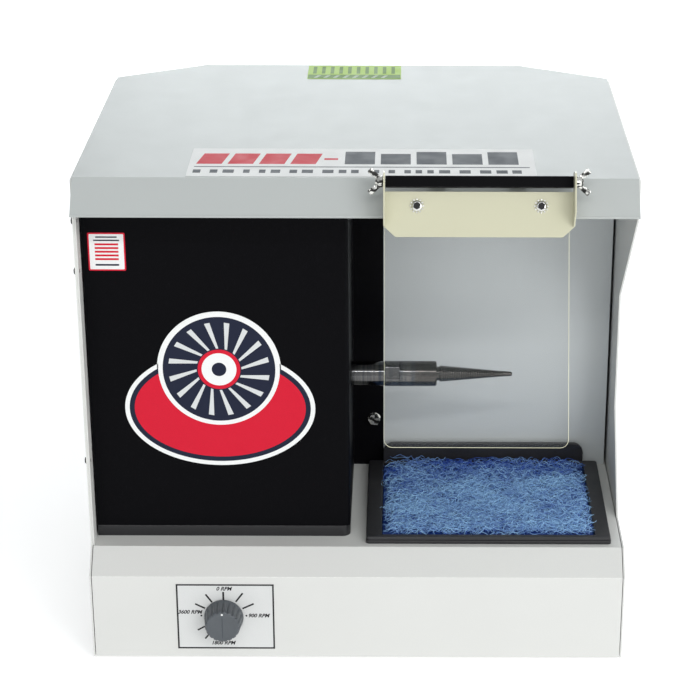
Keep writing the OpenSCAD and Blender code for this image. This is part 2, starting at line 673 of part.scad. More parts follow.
module dial_plate() color([0.93, 0.93, 0.92]) place() difference() {
    box([dial_x - dial_w / 2 + dial_off, -label_t, dial_z - dial_h / 2],
        [dial_x + dial_w / 2 + dial_off, 0, dial_z + dial_h / 2]);
    rod_y(pot_hole_r + 0.1, -3, eps, dial_x, dial_z);
}

// ---- Filter tray ----

module filter_tray() color(ink_black) place() difference() {
    union() {
        along_z(base_h, base_h + rim_t) polygon(round_box(tray_x0, tray_y0, tray_x1, tray_y1, tray_r));
        box([well_x0 - well_wall, well_y0 - well_wall, base_h - well_d],
            [well_x1 + well_wall, well_y1 + well_wall, base_h]);
    }
    box([well_x0, well_y0, screen_z], [well_x1, well_y1, rim_z]);
    box([well_x0 + 6, well_y0 + 6, base_h - well_d - eps], [well_x1 - 6, well_y1 - 6, rim_z]);
}
wires_x = 24;
wires_y = 18;
module filter_screen() color(zinc) place() {
    sx = (well_x1 - well_x0 - 2) / wires_x;
    sy = (well_y1 - well_y0 - 2) / wires_y;
    for (i = [0:wires_x]) box([well_x0 + 0.5 + i * sx, well_y0 + 0.5, screen_z],
        [well_x0 + 1.5 + i * sx, well_y1 - 0.5, screen_z + screen_t]);
    for (i = [0:wires_y]) box([well_x0 + 0.5, well_y0 + 0.5 + i * sy, screen_z],
        [well_x1 - 0.5, well_y0 + 1.5 + i * sy, screen_z + screen_t]);
}
up_t = rim_end - 2;
module filter_frame() color(ink_black) place() {
    along_z(frame_z, rim_z) difference() {
        polygon(round_box(tray_x0 + frame_in, tray_y0 + frame_in,
            tray_x1 - frame_in, tray_y1 - frame_in, tray_r));
        translate([well_x0, well_y0]) square([well_x1 - well_x0, well_y1 - well_y0]);
    }
    along_y(tray_y1 - frame_in - up_t, tray_y1 - frame_in) polygon(concat(
        [[well_x0, rim_z - rim_t / 2], [well_x1, rim_z - rim_t / 2]],
        arc([well_x1 - up_r, rim_z + upstand - up_r], up_r, 0, 90, 6),
        arc([well_x0 + up_r, rim_z + upstand - up_r], up_r, 90, 180, 6)));
}
module filter_pad() color([0.36, 0.55, 0.80]) place()
    box([well_x0 + 0.5, well_y0 + 0.5, screen_z + screen_t], [well_x1 - 0.5, well_y1 - 0.5, rim_z + pad_up]);

// ---- Shield ----
// In shield_frame() the pivot is the origin, -z runs down the shield and -y points away from it

post_in = 46;                     // welded posts, in from the shield's sides
post_xs = [shield_x0 + post_in, shield_x1 - post_in];
post_w = 14;
post_half = 3;                    // half the post's height
band_up = unit([band_run, band_drop]);                  // up the band, in (y, z)
band_n = left_of(band_up);                              // out of the band
band_top = [band_run - lip_out, cab_h];
pivot_yz = [-pivot_out, pivot_z];
back_dir = [cos(tilt), -sin(tilt)];                     // from the pivot towards the band
up_dir = [sin(tilt), cos(tilt)];
// The point where a line from p along back_dir meets the band
function on_band(p) = p + back_dir * (((band_top - p) * band_n) / (back_dir * band_n));
module pivot_bar() color(powder_black) place() difference() {
    union() {
        shield_frame() box([bar_x0, -bar / 2, -bar / 2], [bar_x1, bar / 2, bar / 2]);
        for (x = post_xs) along_x(x - post_w / 2, x + post_w / 2) polygon([
            pivot_yz - up_dir * post_half, on_band(pivot_yz - up_dir * post_half),
            on_band(pivot_yz + up_dir * post_half), pivot_yz + up_dir * post_half]);
    }
    for (x = [bar_x0 - eps, bar_x1 - 16]) rod_x(stud_r, x, x + 16 + eps, -pivot_out, pivot_z);
}
module pivot_studs() color(zinc) place() {
    rod_x(stud_r, shield_x0 - stud_out, bar_x0 + 15, -pivot_out, pivot_z);
    rod_x(stud_r, bar_x1 - 15, shield_x1 + stud_out, -pivot_out, pivot_z);
}

plate_cut = 10;
ear_low = plate_l - 9;
module ear(x) translate([x, 0, 0]) rotate([90, 0, 90]) linear_extrude(ear_t) polygon([[plate_back, -ear_low],
    [plate_back - 4, -ear_low], [-ear_d, -ear_low + 11], [-ear_d, 6], [-ear_d + 4, 8], [plate_back, 8]]);
module bracket_hole_places() for (x = [shield_x0 + screw_in, shield_x1 - screw_in])
    translate([x, 0, -screw_down]) children();
module shield_bracket() color(cream) place() shield_frame() difference() {
    union() {
        translate([0, plate_back, 0]) rotate([90, 0, 0]) linear_extrude(ear_t) polygon([
            [shield_x0, -plate_top], [shield_x0, -ear_low], [shield_x0 + plate_cut, -plate_l],
            [shield_x1 - plate_cut, -plate_l], [shield_x1, -ear_low], [shield_x1, -plate_top]]);
        ear(shield_x0);
        ear(shield_x1 - ear_t);
    }
    rod_x(stud_r + run, shield_x0 - eps, shield_x1 + eps, 0, 0);
    bracket_hole_places() rod_y(2.2, -10, 10, 0, 0);
}
pane_in = [1, 4.5];                // pane's sides, in from the bracket's left and right
pane_x0 = shield_x0 + pane_in[0];
pane_x1 = shield_x1 - pane_in[1];
pane_r = 7;
module shield_pane() color([0.85, 0.9, 0.9, 0.35]) place() shield_frame() difference() {
    translate([0, plate_back + pane_t, 0]) rotate([90, 0, 0]) linear_extrude(pane_t)
        polygon(concat(arc([pane_x1 - pane_r, pane_r - shield_l], pane_r, -90, 0, 5),
            [[pane_x1, -plate_top], [pane_x0, -plate_top]],
            arc([pane_x0 + pane_r, pane_r - shield_l], pane_r, 180, 270, 5)));
    bracket_hole_places() rod_y(2.2, -10, 20, 0, 0);
}
washer_t = 0.8;
module bracket_screws() color(zinc) place() shield_frame() bracket_hole_places() {
    rod_y(2, plate_face - washer_t, plate_back + pane_t + 5.2, 0, 0);
    rod_y(5, plate_face - washer_t, plate_face, 0, 0);
    translate([0, plate_face - washer_t, 0]) rotate([90, 0, 0]) cylinder(r1 = 3.7, r2 = 2.4, h = 2.4);
}
module bracket_nuts() color(zinc) place() shield_frame() bracket_hole_places() difference() {
    translate([0, plate_back + pane_t + 3.2, 0]) rotate([90, 0, 0]) cylinder(r = 4.2, h = 3.2, $fn = 6);
    rod_y(2, plate_back, plate_back + 20, 0, 0);
}

wing_gap = 0.4;
wing_hub = 5;
wing_t = 2.4;
// A wing nut for the stud, its hub against x = 0 and its wings towards +x
module wing_nut() difference() {
    union() {
        rotate([0, 90, 0]) cylinder(r1 = 5, r2 = 4, h = wing_hub);
        for (s = [1, -1]) translate([0, wing_t / 2, 0]) rotate([90, 0, 0]) linear_extrude(wing_t) polygon([
            [0.6, s * 3], [3, s * 4.6], [9.6, s * 9.9], [11.6, s * 8.6], [11.4, s * 6.6], [4.6, s * 2.8]]);
    }
    rotate([0, 90, 0]) translate([0, 0, -eps]) cylinder(r = stud_r + run, h = 20);
}
module wing_nut_left() color(zinc) place() shield_frame()
    translate([shield_x0 - wing_gap, 0, 0]) mirror([1, 0, 0]) wing_nut();
module wing_nut_right() color(zinc) place() shield_frame()
    translate([shield_x1 + wing_gap, 0, 0]) wing_nut();

// ---- Labels ----

label_y0 = band_run - lip_out + 3;
module hood_label() color([0.93, 0.94, 0.94]) place()
    box([left_x + 96, label_y0, cab_h], [right_x - 86, label_y0 + 79, cab_h + label_t]);
module exhaust_label() color([0.65, 0.80, 0.35]) place()
    box([-54, cab_d - 52, cab_h], [38, cab_d - 3, cab_h + label_t]);
emblem_x = left_x + 117.5;
emblem_z = base_h + 128;
module cover_emblem() color([0.9, 0.9, 0.9]) place() along_y(cover_y - label_t, cover_y) {
    translate([emblem_x, emblem_z]) polygon(ellipse(85, 56, 48));
    translate([emblem_x, emblem_z + 38]) circle(r = 55);
}
module cover_sticker() color([0.9, 0.9, 0.92]) place() along_y(cover_y - label_t, cover_y)
    translate([left_x + 7, cab_h - 92.5]) square([32.5, 35]);

// ---- Rear fittings and feet ----

module power_inlet() color(ink_black) place() {
    difference() {
        union() {
            box([inlet_x - inlet_w / 2 + 0.2, cab_d - 20, inlet_z - inlet_h / 2 + 0.2],
                [inlet_x + inlet_w / 2 - 0.2, cab_d + skin, inlet_z + inlet_h / 2 - 0.2]);
            along_y(cab_d + skin, cab_d + skin + 2.5) polygon(round_box(inlet_x - inlet_w / 2 - 4,
                inlet_z - inlet_h / 2 - 4, inlet_x + inlet_w / 2 + 4, inlet_z + inlet_h / 2 + 4, 3));
        }
        box([inlet_x - inlet_w / 2 + 2, cab_d - 14, inlet_z - inlet_h / 2 + 2],
            [inlet_x + inlet_w / 2 - 2, cab_d + 10, inlet_z + inlet_h / 2 - 2]);
    }
    for (p = [[-7, -2], [0, 3], [7, -2]]) box([inlet_x + p[0] - 1, cab_d - 15, inlet_z + p[1] - 2],
        [inlet_x + p[0] + 1, cab_d - 1, inlet_z + p[1] + 2]);
}
slat_n = 8;
module exhaust_grille() color(powder_black) place() {
    along_y(cab_d + skin, cab_d + skin + 2) difference() {
        translate([-vent_w / 2 - 8, vent_z - vent_h / 2 - 8]) square([vent_w + 16, vent_h + 16]);
        translate([-vent_w / 2 + 2, vent_z - vent_h / 2 + 2]) square([vent_w - 4, vent_h - 4]);
    }
    for (i = [1:slat_n])
        translate([-vent_w / 2, cab_d + skin + 1, vent_z - vent_h / 2 + i * vent_h / (slat_n + 1)])
            rotate([-30, 0, 0]) translate([0, -2, -0.6]) cube([vent_w, 4, 1.2]);
}
module exhaust_filter() color([0.80, 0.82, 0.84]) place()
    box([-vent_w / 2 - 6, cab_d - 26, vent_z - vent_h / 2 - 6],
        [vent_w / 2 + 6, cab_d + seam, vent_z + vent_h / 2 + 6]);

// A screwed foot at each corner and a plain pad glued under the middle
module foot_pad() cylinder(r1 = 10, r2 = 11, h = foot_h);
module rubber_feet() color(ink_black) {
    foot_pad();
    for (p = foot_xy) translate([p[0], p[1] - cab_d / 2, 0]) difference() {
        foot_pad();
        translate([0, 0, -eps]) cylinder(r = screw_r + screw_slack, h = foot_h + 1);
        translate([0, 0, -eps]) cylinder(r = 4.5, h = foot_h / 2 + eps);
    }
}
module foot_screws() color(zinc) for (p = foot_xy) translate([p[0], p[1] - cab_d / 2, 0]) {
    translate([0, 0, foot_h / 2 - 1]) cylinder(r = 3.4, h = 1);
    translate([0, 0, foot_h / 2]) cylinder(r = screw_r, h = foot_h / 2 + 6);
}

base_pan();
front_deck();
left_panel();
right_panel();
rear_cover();
back_wall();
hood();
cover_stop();
motor_chassis();
motor_cover();
flange_bolts();
panel_screws();
rear_screws();
motor_can();
field_magnets();
end_bell_right();
end_bell_left();
bearing_right();
bearing_left();
motor_cradle();
motor_straps();
cradle_bolts();
armature();
commutator();
rotor_shaft();
taper_spindle();
spindle_set_screw();
fan_wheel();
fan_scroll();
suction_duct();
scroll_stand();
plenum_wall();
control_board();
board_posts();
potentiometer();
pot_nut();
pot_shaft();
speed_knob();
dial_plate();
filter_tray();
filter_screen();
filter_frame();
filter_pad();
pivot_bar();
pivot_studs();
shield_bracket();
shield_pane();
bracket_screws();
bracket_nuts();
wing_nut_left();
wing_nut_right();
hood_label();
exhaust_label();
cover_emblem();
cover_sticker();
power_inlet();
exhaust_grille();
exhaust_filter();
rubber_feet();
foot_screws();
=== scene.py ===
import json
import math
import random

import bmesh
import bpy
import numpy as np
from mathutils import Matrix, Vector

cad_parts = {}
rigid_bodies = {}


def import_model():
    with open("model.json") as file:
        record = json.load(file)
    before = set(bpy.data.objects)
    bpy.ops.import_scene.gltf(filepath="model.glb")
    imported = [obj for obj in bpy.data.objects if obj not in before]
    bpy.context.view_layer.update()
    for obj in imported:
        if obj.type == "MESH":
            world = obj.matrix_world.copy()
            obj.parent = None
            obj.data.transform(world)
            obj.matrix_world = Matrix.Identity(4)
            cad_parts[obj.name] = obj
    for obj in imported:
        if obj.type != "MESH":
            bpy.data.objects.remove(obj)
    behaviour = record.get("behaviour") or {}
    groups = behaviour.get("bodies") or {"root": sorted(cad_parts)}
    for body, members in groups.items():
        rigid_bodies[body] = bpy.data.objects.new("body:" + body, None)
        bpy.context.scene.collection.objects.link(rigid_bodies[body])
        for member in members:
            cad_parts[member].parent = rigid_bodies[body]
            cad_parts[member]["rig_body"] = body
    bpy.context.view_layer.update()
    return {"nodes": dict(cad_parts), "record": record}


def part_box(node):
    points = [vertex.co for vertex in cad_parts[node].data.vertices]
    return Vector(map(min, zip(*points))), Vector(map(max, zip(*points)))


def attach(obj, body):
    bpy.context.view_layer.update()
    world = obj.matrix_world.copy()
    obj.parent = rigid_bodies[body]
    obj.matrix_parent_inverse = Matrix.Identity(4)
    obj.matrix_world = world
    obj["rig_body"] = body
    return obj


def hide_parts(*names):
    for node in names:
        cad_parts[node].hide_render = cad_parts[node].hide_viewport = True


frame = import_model()
nodes = frame["nodes"]

joint_at = {j["name"]: Vector(j["pos_m"]) for j in frame["record"]["behaviour"]["joints"] if "pos_m" in j}

# Lengths in the shapes below are in millimetres, and MM turns them into Blender's metres
MM = 0.001
TAU = 2 * math.pi
TILT = math.radians(22.5)           # lean of the shield from upright
PIVOT = joint_at["shield_tilt"]     # on the shield's hinge line
AXIS = joint_at["spindle_spin"]     # on the spindle's axis
DIAL = joint_at["speed_dial"]       # on the front panel, at the knob's axis


# ---- Camera, lights and floor ----

def make_camera():
    data = bpy.data.cameras.new("camera")
    data.sensor_width = 36
    data.lens = 110.93
    data.shift_x = -0.0758
    data.clip_end = 60
    camera = bpy.data.objects.new("camera", data)
    bpy.context.scene.collection.objects.link(camera)
    camera.location = (0.0408, -1.9134, 1.0209)
    roll = math.radians(0.182)
    pitch = math.radians(67.503)
    camera.rotation_euler = (Matrix.Rotation(pitch, 3, "X") @ Matrix.Rotation(roll, 3, "Z")).to_euler()
    bpy.context.scene.camera = camera


def area_light(name, place, target, size, watts, color=(1, 1, 1)):
    data = bpy.data.lights.new(name, "AREA")
    data.shape = "RECTANGLE"
    data.size, data.size_y = size
    data.energy = watts
    data.color = color
    light = bpy.data.objects.new(name, data)
    light.location = place
    light.rotation_euler = (Vector(target) - Vector(place)).to_track_quat("-Z", "Y").to_euler()
    bpy.context.scene.collection.objects.link(light)


def make_world():
    """A bright room that darkens toward the zenith and toward the left."""
    world = bpy.data.worlds.new("studio")
    world.use_nodes = True
    tree = world.node_tree
    place = tree.nodes.new("ShaderNodeTexCoord")
    split = tree.nodes.new("ShaderNodeSeparateXYZ")
    both = tree.nodes.new("ShaderNodeMath")
    both.operation = "MULTIPLY"
    tree.links.new(place.outputs["Generated"], split.inputs[0])
    ramps = (("Z", (0.0, 0.8), (1.06, 0.62)), ("X", (-0.8, 0.25), (0.44, 1.10)))
    for i, (axis, reach, strength) in enumerate(ramps):
        ramp = tree.nodes.new("ShaderNodeMapRange")
        tree.links.new(split.outputs[axis], ramp.inputs["Value"])
        ramp.inputs["From Min"].default_value, ramp.inputs["From Max"].default_value = reach
        ramp.inputs["To Min"].default_value, ramp.inputs["To Max"].default_value = strength
        tree.links.new(ramp.outputs[0], both.inputs[i])
    background = tree.nodes["Background"]
    tree.links.new(both.outputs[0], background.inputs["Strength"])
    background.inputs["Color"].default_value = (0.96, 0.98, 1, 1)
    bpy.context.scene.world = world


def make_stage():
    """The room, three soft lights and a pale paper floor."""
    make_world()
    area_light("key", (1.9, -2.9, 1.5), (0, 0, 0.2), (1.4, 1.2), 30)
    area_light("strip", (0.2, -2.2, 2.1), (0.05, 0, 0.2), (2.2, 0.12), 16)
    area_light("rear", (0, 2.7, 0.98), (0, 0.1, 0.42), (1.5, 0.6), 15, (0.93, 0.99, 1))
    bpy.context.scene.view_settings.view_transform = "Standard"
    bpy.ops.mesh.primitive_plane_add(size=40)
    floor = bpy.context.object
    floor.name = "floor"
    paint = Paint("floor_paper", "", (0.93, 0.93, 0.93), 0.9)
    paint.bump(paint.noise(900, detail=3), 0.05, 0.1)
    paint.bsdf.inputs["Specular IOR Level"].default_value = 0.0
    paint.bsdf.inputs["Emission Color"].default_value = (1, 1, 1, 1)
    paint.bsdf.inputs["Emission Strength"].default_value = 0.37
    floor.data.materials.append(paint.material)


# ---- Materials ----

class Paint:
    """One procedural material round a Principled shader, in the object's own metres."""

    def __init__(self, name, slot, color, rough, **sockets):
        self.material = bpy.data.materials.new(name)
        self.slot = slot
        self.material.use_nodes = True
        self.tree = self.material.node_tree
        self.bsdf = self.tree.nodes["Principled BSDF"]
        self.bsdf.inputs["Base Color"].default_value = (*color, 1)
        self.bsdf.inputs["Roughness"].default_value = rough
        for key, value in sockets.items():
            self.bsdf.inputs[key.replace("_", " ")].default_value = value
        self.place = self.add("ShaderNodeTexCoord").outputs["Object"]

    def add(self, kind, links=(), **settings):
        node = self.tree.nodes.new(kind)
        for key, value in settings.items():
            setattr(node, key, value)
        for key, value in dict(links).items():
            if isinstance(value, bpy.types.NodeSocket):
                self.tree.links.new(value, node.inputs[key])
            else:
                node.inputs[key].default_value = value
        return node

    def noise(self, scale, detail=2, stretch=(1, 1, 1)):
        mapped = self.add("ShaderNodeMapping", {"Vector": self.place, "Scale": stretch}).outputs[0]
        links = {"Vector": mapped, "Scale": scale, "Detail": detail}
        return self.add("ShaderNodeTexNoise", links).outputs["Fac"]

    def cells(self, scale):
        return self.add("ShaderNodeTexVoronoi", {"Vector": self.place, "Scale": scale}).outputs["Distance"]

    def attribute(self, name):
        return self.add("ShaderNodeAttribute", attribute_name=name).outputs["Fac"]

    def curve(self, value, lo, hi, out_lo=0.0, out_hi=1.0):
        return self.add("ShaderNodeMapRange", {"Value": value, "From Min": lo, "From Max": hi,
                                               "To Min": out_lo, "To Max": out_hi}).outputs[0]

    def times(self, a, b):
        return self.add("ShaderNodeMath", {0: a, 1: b}, operation="MULTIPLY").outputs[0]

    def blend(self, factor, a, b):
        node = self.add("ShaderNodeMix", data_type="RGBA")
        for socket, value in ((0, factor), (6, a), (7, b)):
            if isinstance(value, bpy.types.NodeSocket):
                self.tree.links.new(value, node.inputs[socket])
            else:
                node.inputs[socket].default_value = value if socket == 0 else (*value, 1)
        return node.outputs[2]

    def set_color(self, socket):
        self.tree.links.new(socket, self.bsdf.inputs["Base Color"])

    def set_rough(self, value, lo, hi):
        self.tree.links.new(self.curve(value, 0.3, 0.7, lo, hi), self.bsdf.inputs["Roughness"])

    def bump(self, height, strength, distance_mm):
        links = {"Height": height, "Strength": strength, "Distance": distance_mm * MM}
        node = self.add("ShaderNodeBump", links)
        normal = self.bsdf.inputs["Normal"]
        if normal.is_linked:
            self.tree.links.new(normal.links[0].from_socket, node.inputs["Normal"])
        self.tree.links.new(node.outputs[0], normal)


def shade(color, factor):
    return tuple(min(1.0, c * factor) for c in color)


def powder(name, slot, color, rough, peel=0.25, edge_wear_and_highlight=0.12, spread=0.02, **sockets):
    """Satin powder coat: fine orange peel, faint cloudiness and lighter edges, partly rubbed wear and partly
    a painted highlight along the rounded bends.
    """
    p = Paint(name, slot, color, rough, **sockets)
    cloud = p.blend(p.curve(p.noise(7, 3), 0.35, 0.65), shade(color, 0.985), shade(color, 1.01))
    fine = p.blend(p.curve(p.noise(2600, 2), 0.35, 0.65, 0, 0.5), cloud, shade(color, 0.93))
    # Rounded edge faces lighten in noisy patches: partly rubbed wear, partly a painted highlight on the
    # bends; dark coats get a painted grey highlight
    edge = p.times(p.attribute("edge"), p.curve(p.noise(260, 3), 0.4, 0.62, 0.25, 1))
    rubbed_and_highlit = shade(color, 1.35) if sum(color) > 0.3 else (0.25, 0.25, 0.25)
    p.set_color(p.blend(p.times(edge, edge_wear_and_highlight), fine, rubbed_and_highlit))
    p.set_rough(p.noise(60, 3), rough - spread, rough + spread)
    p.bump(p.noise(620, 3), peel, 0.06)
    p.bump(p.noise(2200, 2), peel * 0.8, 0.02)
    return p


def black_texture():
    """Fine-textured black powder coat with tiny bright grains."""
    p = powder("black_texture", "black_coat", (0.0022, 0.0022, 0.003), 0.45, peel=0.3, edge_wear_and_highlight=0.25,
               Specular_IOR_Level=0.045)
    grain = p.cells(780)
    p.bump(p.curve(grain, 0.05, 0.55, 1, 0), 0.45, 0.11)
    p.bump(p.noise(1500, 2), 0.4, 0.05)
    return p


def metal(name, slot, color, rough, stretch=(1, 1, 1), scale=900, depth=0.15, **sockets):
    """Bare metal with fine tool marks along the stretch, light stains and duller hollows."""
    p = Paint(name, slot, color, rough, Metallic=1.0, **sockets)
    marks = p.noise(scale, 3, stretch)
    stain = p.noise(45, 4)
    tone = p.blend(p.curve(stain, 0.35, 0.7), shade(color, 1.08), shade(color, 0.78))
    p.set_color(p.blend(p.curve(marks, 0.4, 0.62, 0, 0.6), tone, shade(color, 0.72)))
    p.set_rough(p.noise(220, 3, stretch), rough - 0.06, rough + 0.1)
    p.bump(marks, depth, 0.03)
    return p


def bright_zinc():
    """Zinc plate on small fasteners: bright faces broken up by dark streaks, a painted reflection of dark
    surroundings, and edges lightened as a painted highlight.
    """
    p = Paint("zinc_plate", "zinc", (0.42, 0.42, 0.40), 0.2, Metallic=1.0)
    # The dark streaks are a painted reflection of dark surroundings
    reflection_streak = p.curve(p.noise(190, 2, (1, 1, 1.6)), 0.45, 0.55)
    tone = p.blend(reflection_streak, (0.035, 0.035, 0.034), (0.72, 0.72, 0.68))
    # Edge faces are lightened: a painted highlight
    p.set_color(p.blend(p.times(p.attribute("edge"), 0.8), tone, (0.85, 0.85, 0.82)))
    p.set_rough(p.noise(400, 3), 0.14, 0.3)
    p.bump(p.noise(900, 3), 0.15, 0.03)
    return p


def moulded(name, slot, color, rough, grain=1400, depth=0.12, **sockets):
    """Moulded plastic or rubber with a fine grain, dust in it and a few rub marks."""
    p = Paint(name, slot, color, rough, **sockets)
    dust = p.curve(p.noise(900, 2), 0.55, 0.75, 0, 0.25)
    tone = p.blend(p.curve(p.noise(16, 3), 0.3, 0.7), shade(color, 0.9), shade(color, 1.12))
    p.set_color(p.blend(dust, tone, tuple(c * 0.8 + 0.05 for c in color)))
    p.set_rough(p.noise(35, 4), rough - 0.07, rough + 0.08)
    p.bump(p.noise(grain, 2), depth, 0.04)
    return p


def ink(name, color, rough=0.5, slot="label"):
    """Printed vinyl: flat ink with a faint screen grain and gloss change."""
    p = Paint(name, slot, color, rough, Specular_IOR_Level=0.22)
    p.set_color(p.blend(p.curve(p.noise(3500, 2), 0.4, 0.6), shade(color, 0.93), shade(color, 1.03)))
    p.set_rough(p.noise(80, 3), rough - 0.05, rough + 0.07)
    p.bump(p.noise(500, 2), 0.06, 0.03)
    return p


def spindle_steel():
    """Turned dark steel: rings round X, bluish on the body and browner on the thread."""
    p = Paint("turned_steel", "dark_steel", (0.16, 0.15, 0.145), 0.34, Metallic=1.0)
    rings = p.noise(1500, 3, (5.0, 0.05, 0.05))
    wide = p.noise(140, 2, (3.0, 0.05, 0.05))
    tone = p.blend(p.curve(wide, 0.35, 0.65), (0.15, 0.146, 0.142), (0.07, 0.076, 0.086))
    ground = p.blend(p.attribute("ground"), tone, (0.075, 0.07, 0.066))
    p.set_color(p.blend(p.curve(rings, 0.42, 0.7, 0, 0.45), ground, (0.045, 0.042, 0.041)))
    p.set_rough(p.noise(500, 2, (4.0, 0.2, 0.2)), 0.10, 0.17)
    p.bump(rings, 0.06, 0.02)
    return p


def clear_sheet():
    """Clear sheet, seen through its alpha, with faint wiping smears."""
    p = Paint("clear_acrylic", "clear", (0.34, 0.37, 0.36), 0.05)
    smears = p.noise(22, 4, (1, 1, 0.35))
    p.tree.links.new(p.curve(smears, 0.35, 0.7, 0.02, 0.05), p.bsdf.inputs["Alpha"])
    p.set_rough(p.noise(30, 4), 0.02, 0.08)
    return p


def fibre(name, slot, dark, light, **sockets):
    """Loose man-made fibre: each strand has its own shade, held in the mesh's 'shade' values, which carry
    random tone and a painted shade on the lower and rear strands.
    """
    p = Paint(name, slot, light, 0.45, **sockets)
    tone = p.blend(p.attribute("shade"), dark, light)
    p.set_color(p.blend(p.curve(p.noise(1200, 2), 0.45, 0.65, 0, 0.2), tone, shade(light, 1.25)))
    p.bump(p.noise(3000, 2), 0.2, 0.03)
    return p


GREY = (0.665, 0.67, 0.645)
PAINTS = {
    "cabinet": powder("cabinet_coat", "cabinet", GREY, 0.42, edge_wear_and_highlight=0.35),
    # hood_coat and wall_coat are darker, cooler copies of the cabinet's grey coat: painted shade with a
    # painted cool cast for the hood and the chamber
    "hood": powder("hood_coat", "hood", (0.455, 0.48, 0.47), 0.40, edge_wear_and_highlight=1.0),
    "wall": powder("wall_coat", "hood", (0.545, 0.575, 0.575), 0.45),
    "chassis": powder("chassis_coat", "black_coat", (0.013, 0.013, 0.0145), 0.4),
    "black_coat": black_texture(),
    "cream_coat": powder("cream_enamel", "cream_coat", (0.545, 0.535, 0.385), 0.3, peel=0.12,
                         Coat_Weight=0.3),
    "dark_steel": spindle_steel(),
    "zinc": bright_zinc(),
    "washer": metal("washer_zinc", "zinc", (0.85, 0.85, 0.82), 0.22, scale=500),
    "steel": metal("ground_steel", "steel", (0.50, 0.50, 0.50), 0.28, (6, 0.2, 0.2)),
    "black_screw": moulded("black_oxide", "black_screw", (0.012, 0.012, 0.013), 0.35, Metallic=0.6),
    "cast_alloy": metal("cast_alloy", "cast_alloy", (0.55, 0.56, 0.57), 0.45, scale=700, depth=0.4),
    "laminate": metal("laminations", "laminate", (0.30, 0.24, 0.19), 0.45, (12, 0.1, 0.1), 500, 0.6),
    "copper": metal("copper_bars", "copper", (0.72, 0.40, 0.24), 0.3, (4, 0.3, 0.3)),
    "magnet": moulded("ferrite", "magnet", (0.09, 0.09, 0.10), 0.6, 500, 0.3),
    "board": moulded("glass_board", "board", (0.03, 0.13, 0.05), 0.4, 2600, 0.2),
    "blue_plastic": moulded("blue_moulding", "blue_plastic", (0.05, 0.11, 0.32), 0.4),
    "knob": moulded("knob_plastic", "knob", (0.075, 0.085, 0.095), 0.34, 2400, 0.08),
    "tray": moulded("tray_plastic", "tray", (0.016, 0.016, 0.018), 0.38, 420, 0.25),
    "black_plastic": moulded("black_moulding", "black_plastic", (0.015, 0.015, 0.016), 0.3),
    "filter_media": fibre("white_media", "filter_media", (0.55, 0.58, 0.60), (0.80, 0.82, 0.84)),
    "clear": clear_sheet(),
    # The sheet's cut edges: a cream colour and a faint emission, a painted glow for light carried inside the
    # sheet
    "pane_edge_glow": moulded("pane_edge_glow", "clear", (0.93, 0.91, 0.66), 0.25,
                         Emission_Color=(1, 0.97, 0.70, 1), Emission_Strength=0.12),
    "pad": fibre("pad_fibre", "pad", (0.003, 0.045, 0.42), (0.40, 0.69, 1.0), Specular_IOR_Level=0.3),
    # The core is far darker than the strands: a painted shade for the depth of the mat under them
    "pad_core": fibre("pad_core", "pad", (0.004, 0.03, 0.19), (0.01, 0.07, 0.30)),
    "rubber": moulded("rubber", "rubber", (0.02, 0.02, 0.02), 0.7, 900, 0.25),
}
INKS = {
    "white": ink("ink_white", (0.80, 0.81, 0.80)),
    "red": ink("ink_red", (0.60, 0.004, 0.026)),
    "navy": ink("ink_navy", (0.006, 0.010, 0.030)),
    "grey": ink("ink_grey", (0.055, 0.065, 0.08)),
    "black": ink("ink_black", (0.02, 0.02, 0.022)),
    "pale": ink("ink_pale", (0.62, 0.64, 0.64)),
    "plate": ink("ink_plate", (0.665, 0.675, 0.665)),
    "lime": ink("ink_lime", (0.40, 0.62, 0.10), slot="green_label"),
    "moss": ink("ink_moss", (0.13, 0.26, 0.05), slot="green_label"),
    "sage": ink("ink_sage", (0.42, 0.52, 0.38), slot="green_label"),
}


# ---- Mesh helpers ----

def piece(name, mesh, body, paint, replaced=(), smooth=32):
    """Links a mesh as a piece of the object: its paint, its body and the CAD nodes that it stands for."""
    if isinstance(mesh, bmesh.types.BMesh):
        made = bpy.data.meshes.new(name)
        mesh.to_mesh(made)
        mesh.free()
        mesh = made
    mesh.name = name
    obj = bpy.data.objects.new(name, mesh)
    bpy.context.scene.collection.objects.link(obj)
    paints = paint if isinstance(paint, (list, tuple)) else [paint]
    for p in paints:
        mesh.materials.append(p.material)
    if smooth is not None:
        mesh.shade_smooth()
        mesh.set_sharp_from_angle(angle=math.radians(smooth))
    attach(obj, body)
    if replaced:
        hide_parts(*replaced)
    return obj


def solid_of(node):
    """A CAD node's mesh with its split corners joined and its flat faces whole."""
    bm = bmesh.new()
    bm.from_mesh(nodes[node].data)
    bmesh.ops.remove_doubles(bm, verts=bm.verts, dist=2e-6)
    bmesh.ops.dissolve_limit(bm, angle_limit=math.radians(0.4), verts=bm.verts, edges=bm.edges)
    return bm


def round_edges(bm, width, segments=2, angle=28):
    """Rounds the sharp edges and marks the new faces with an 'edge' value of 1."""
    layer = bm.faces.layers.float.new("edge")
    sharp = [e for e in bm.edges if len(e.link_faces) == 2 and e.calc_face_angle(0) > math.radians(angle)]
    made = bmesh.ops.bevel(bm, geom=sharp, offset=width * MM, segments=segments, profile=0.5,
                           affect="EDGES", clamp_overlap=True)
    for f in made["faces"]:
        f[layer] = 1.0


def refined(node, paint, width=0.35, segments=2):
    """A CAD node shown again with rounded edges."""
    bm = solid_of(node)
    round_edges(bm, width, segments)
    even_shading(piece(node + "_look", bm, nodes[node]["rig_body"], paint, [node], smooth=50))


def even_shading(obj):
    """Large flat faces keep their own normals, so only the rounded edges between them shade smoothly."""
    normals = obj.modifiers.new("normals", "WEIGHTED_NORMAL")
    normals.keep_sharp = True
    normals.weight = 100


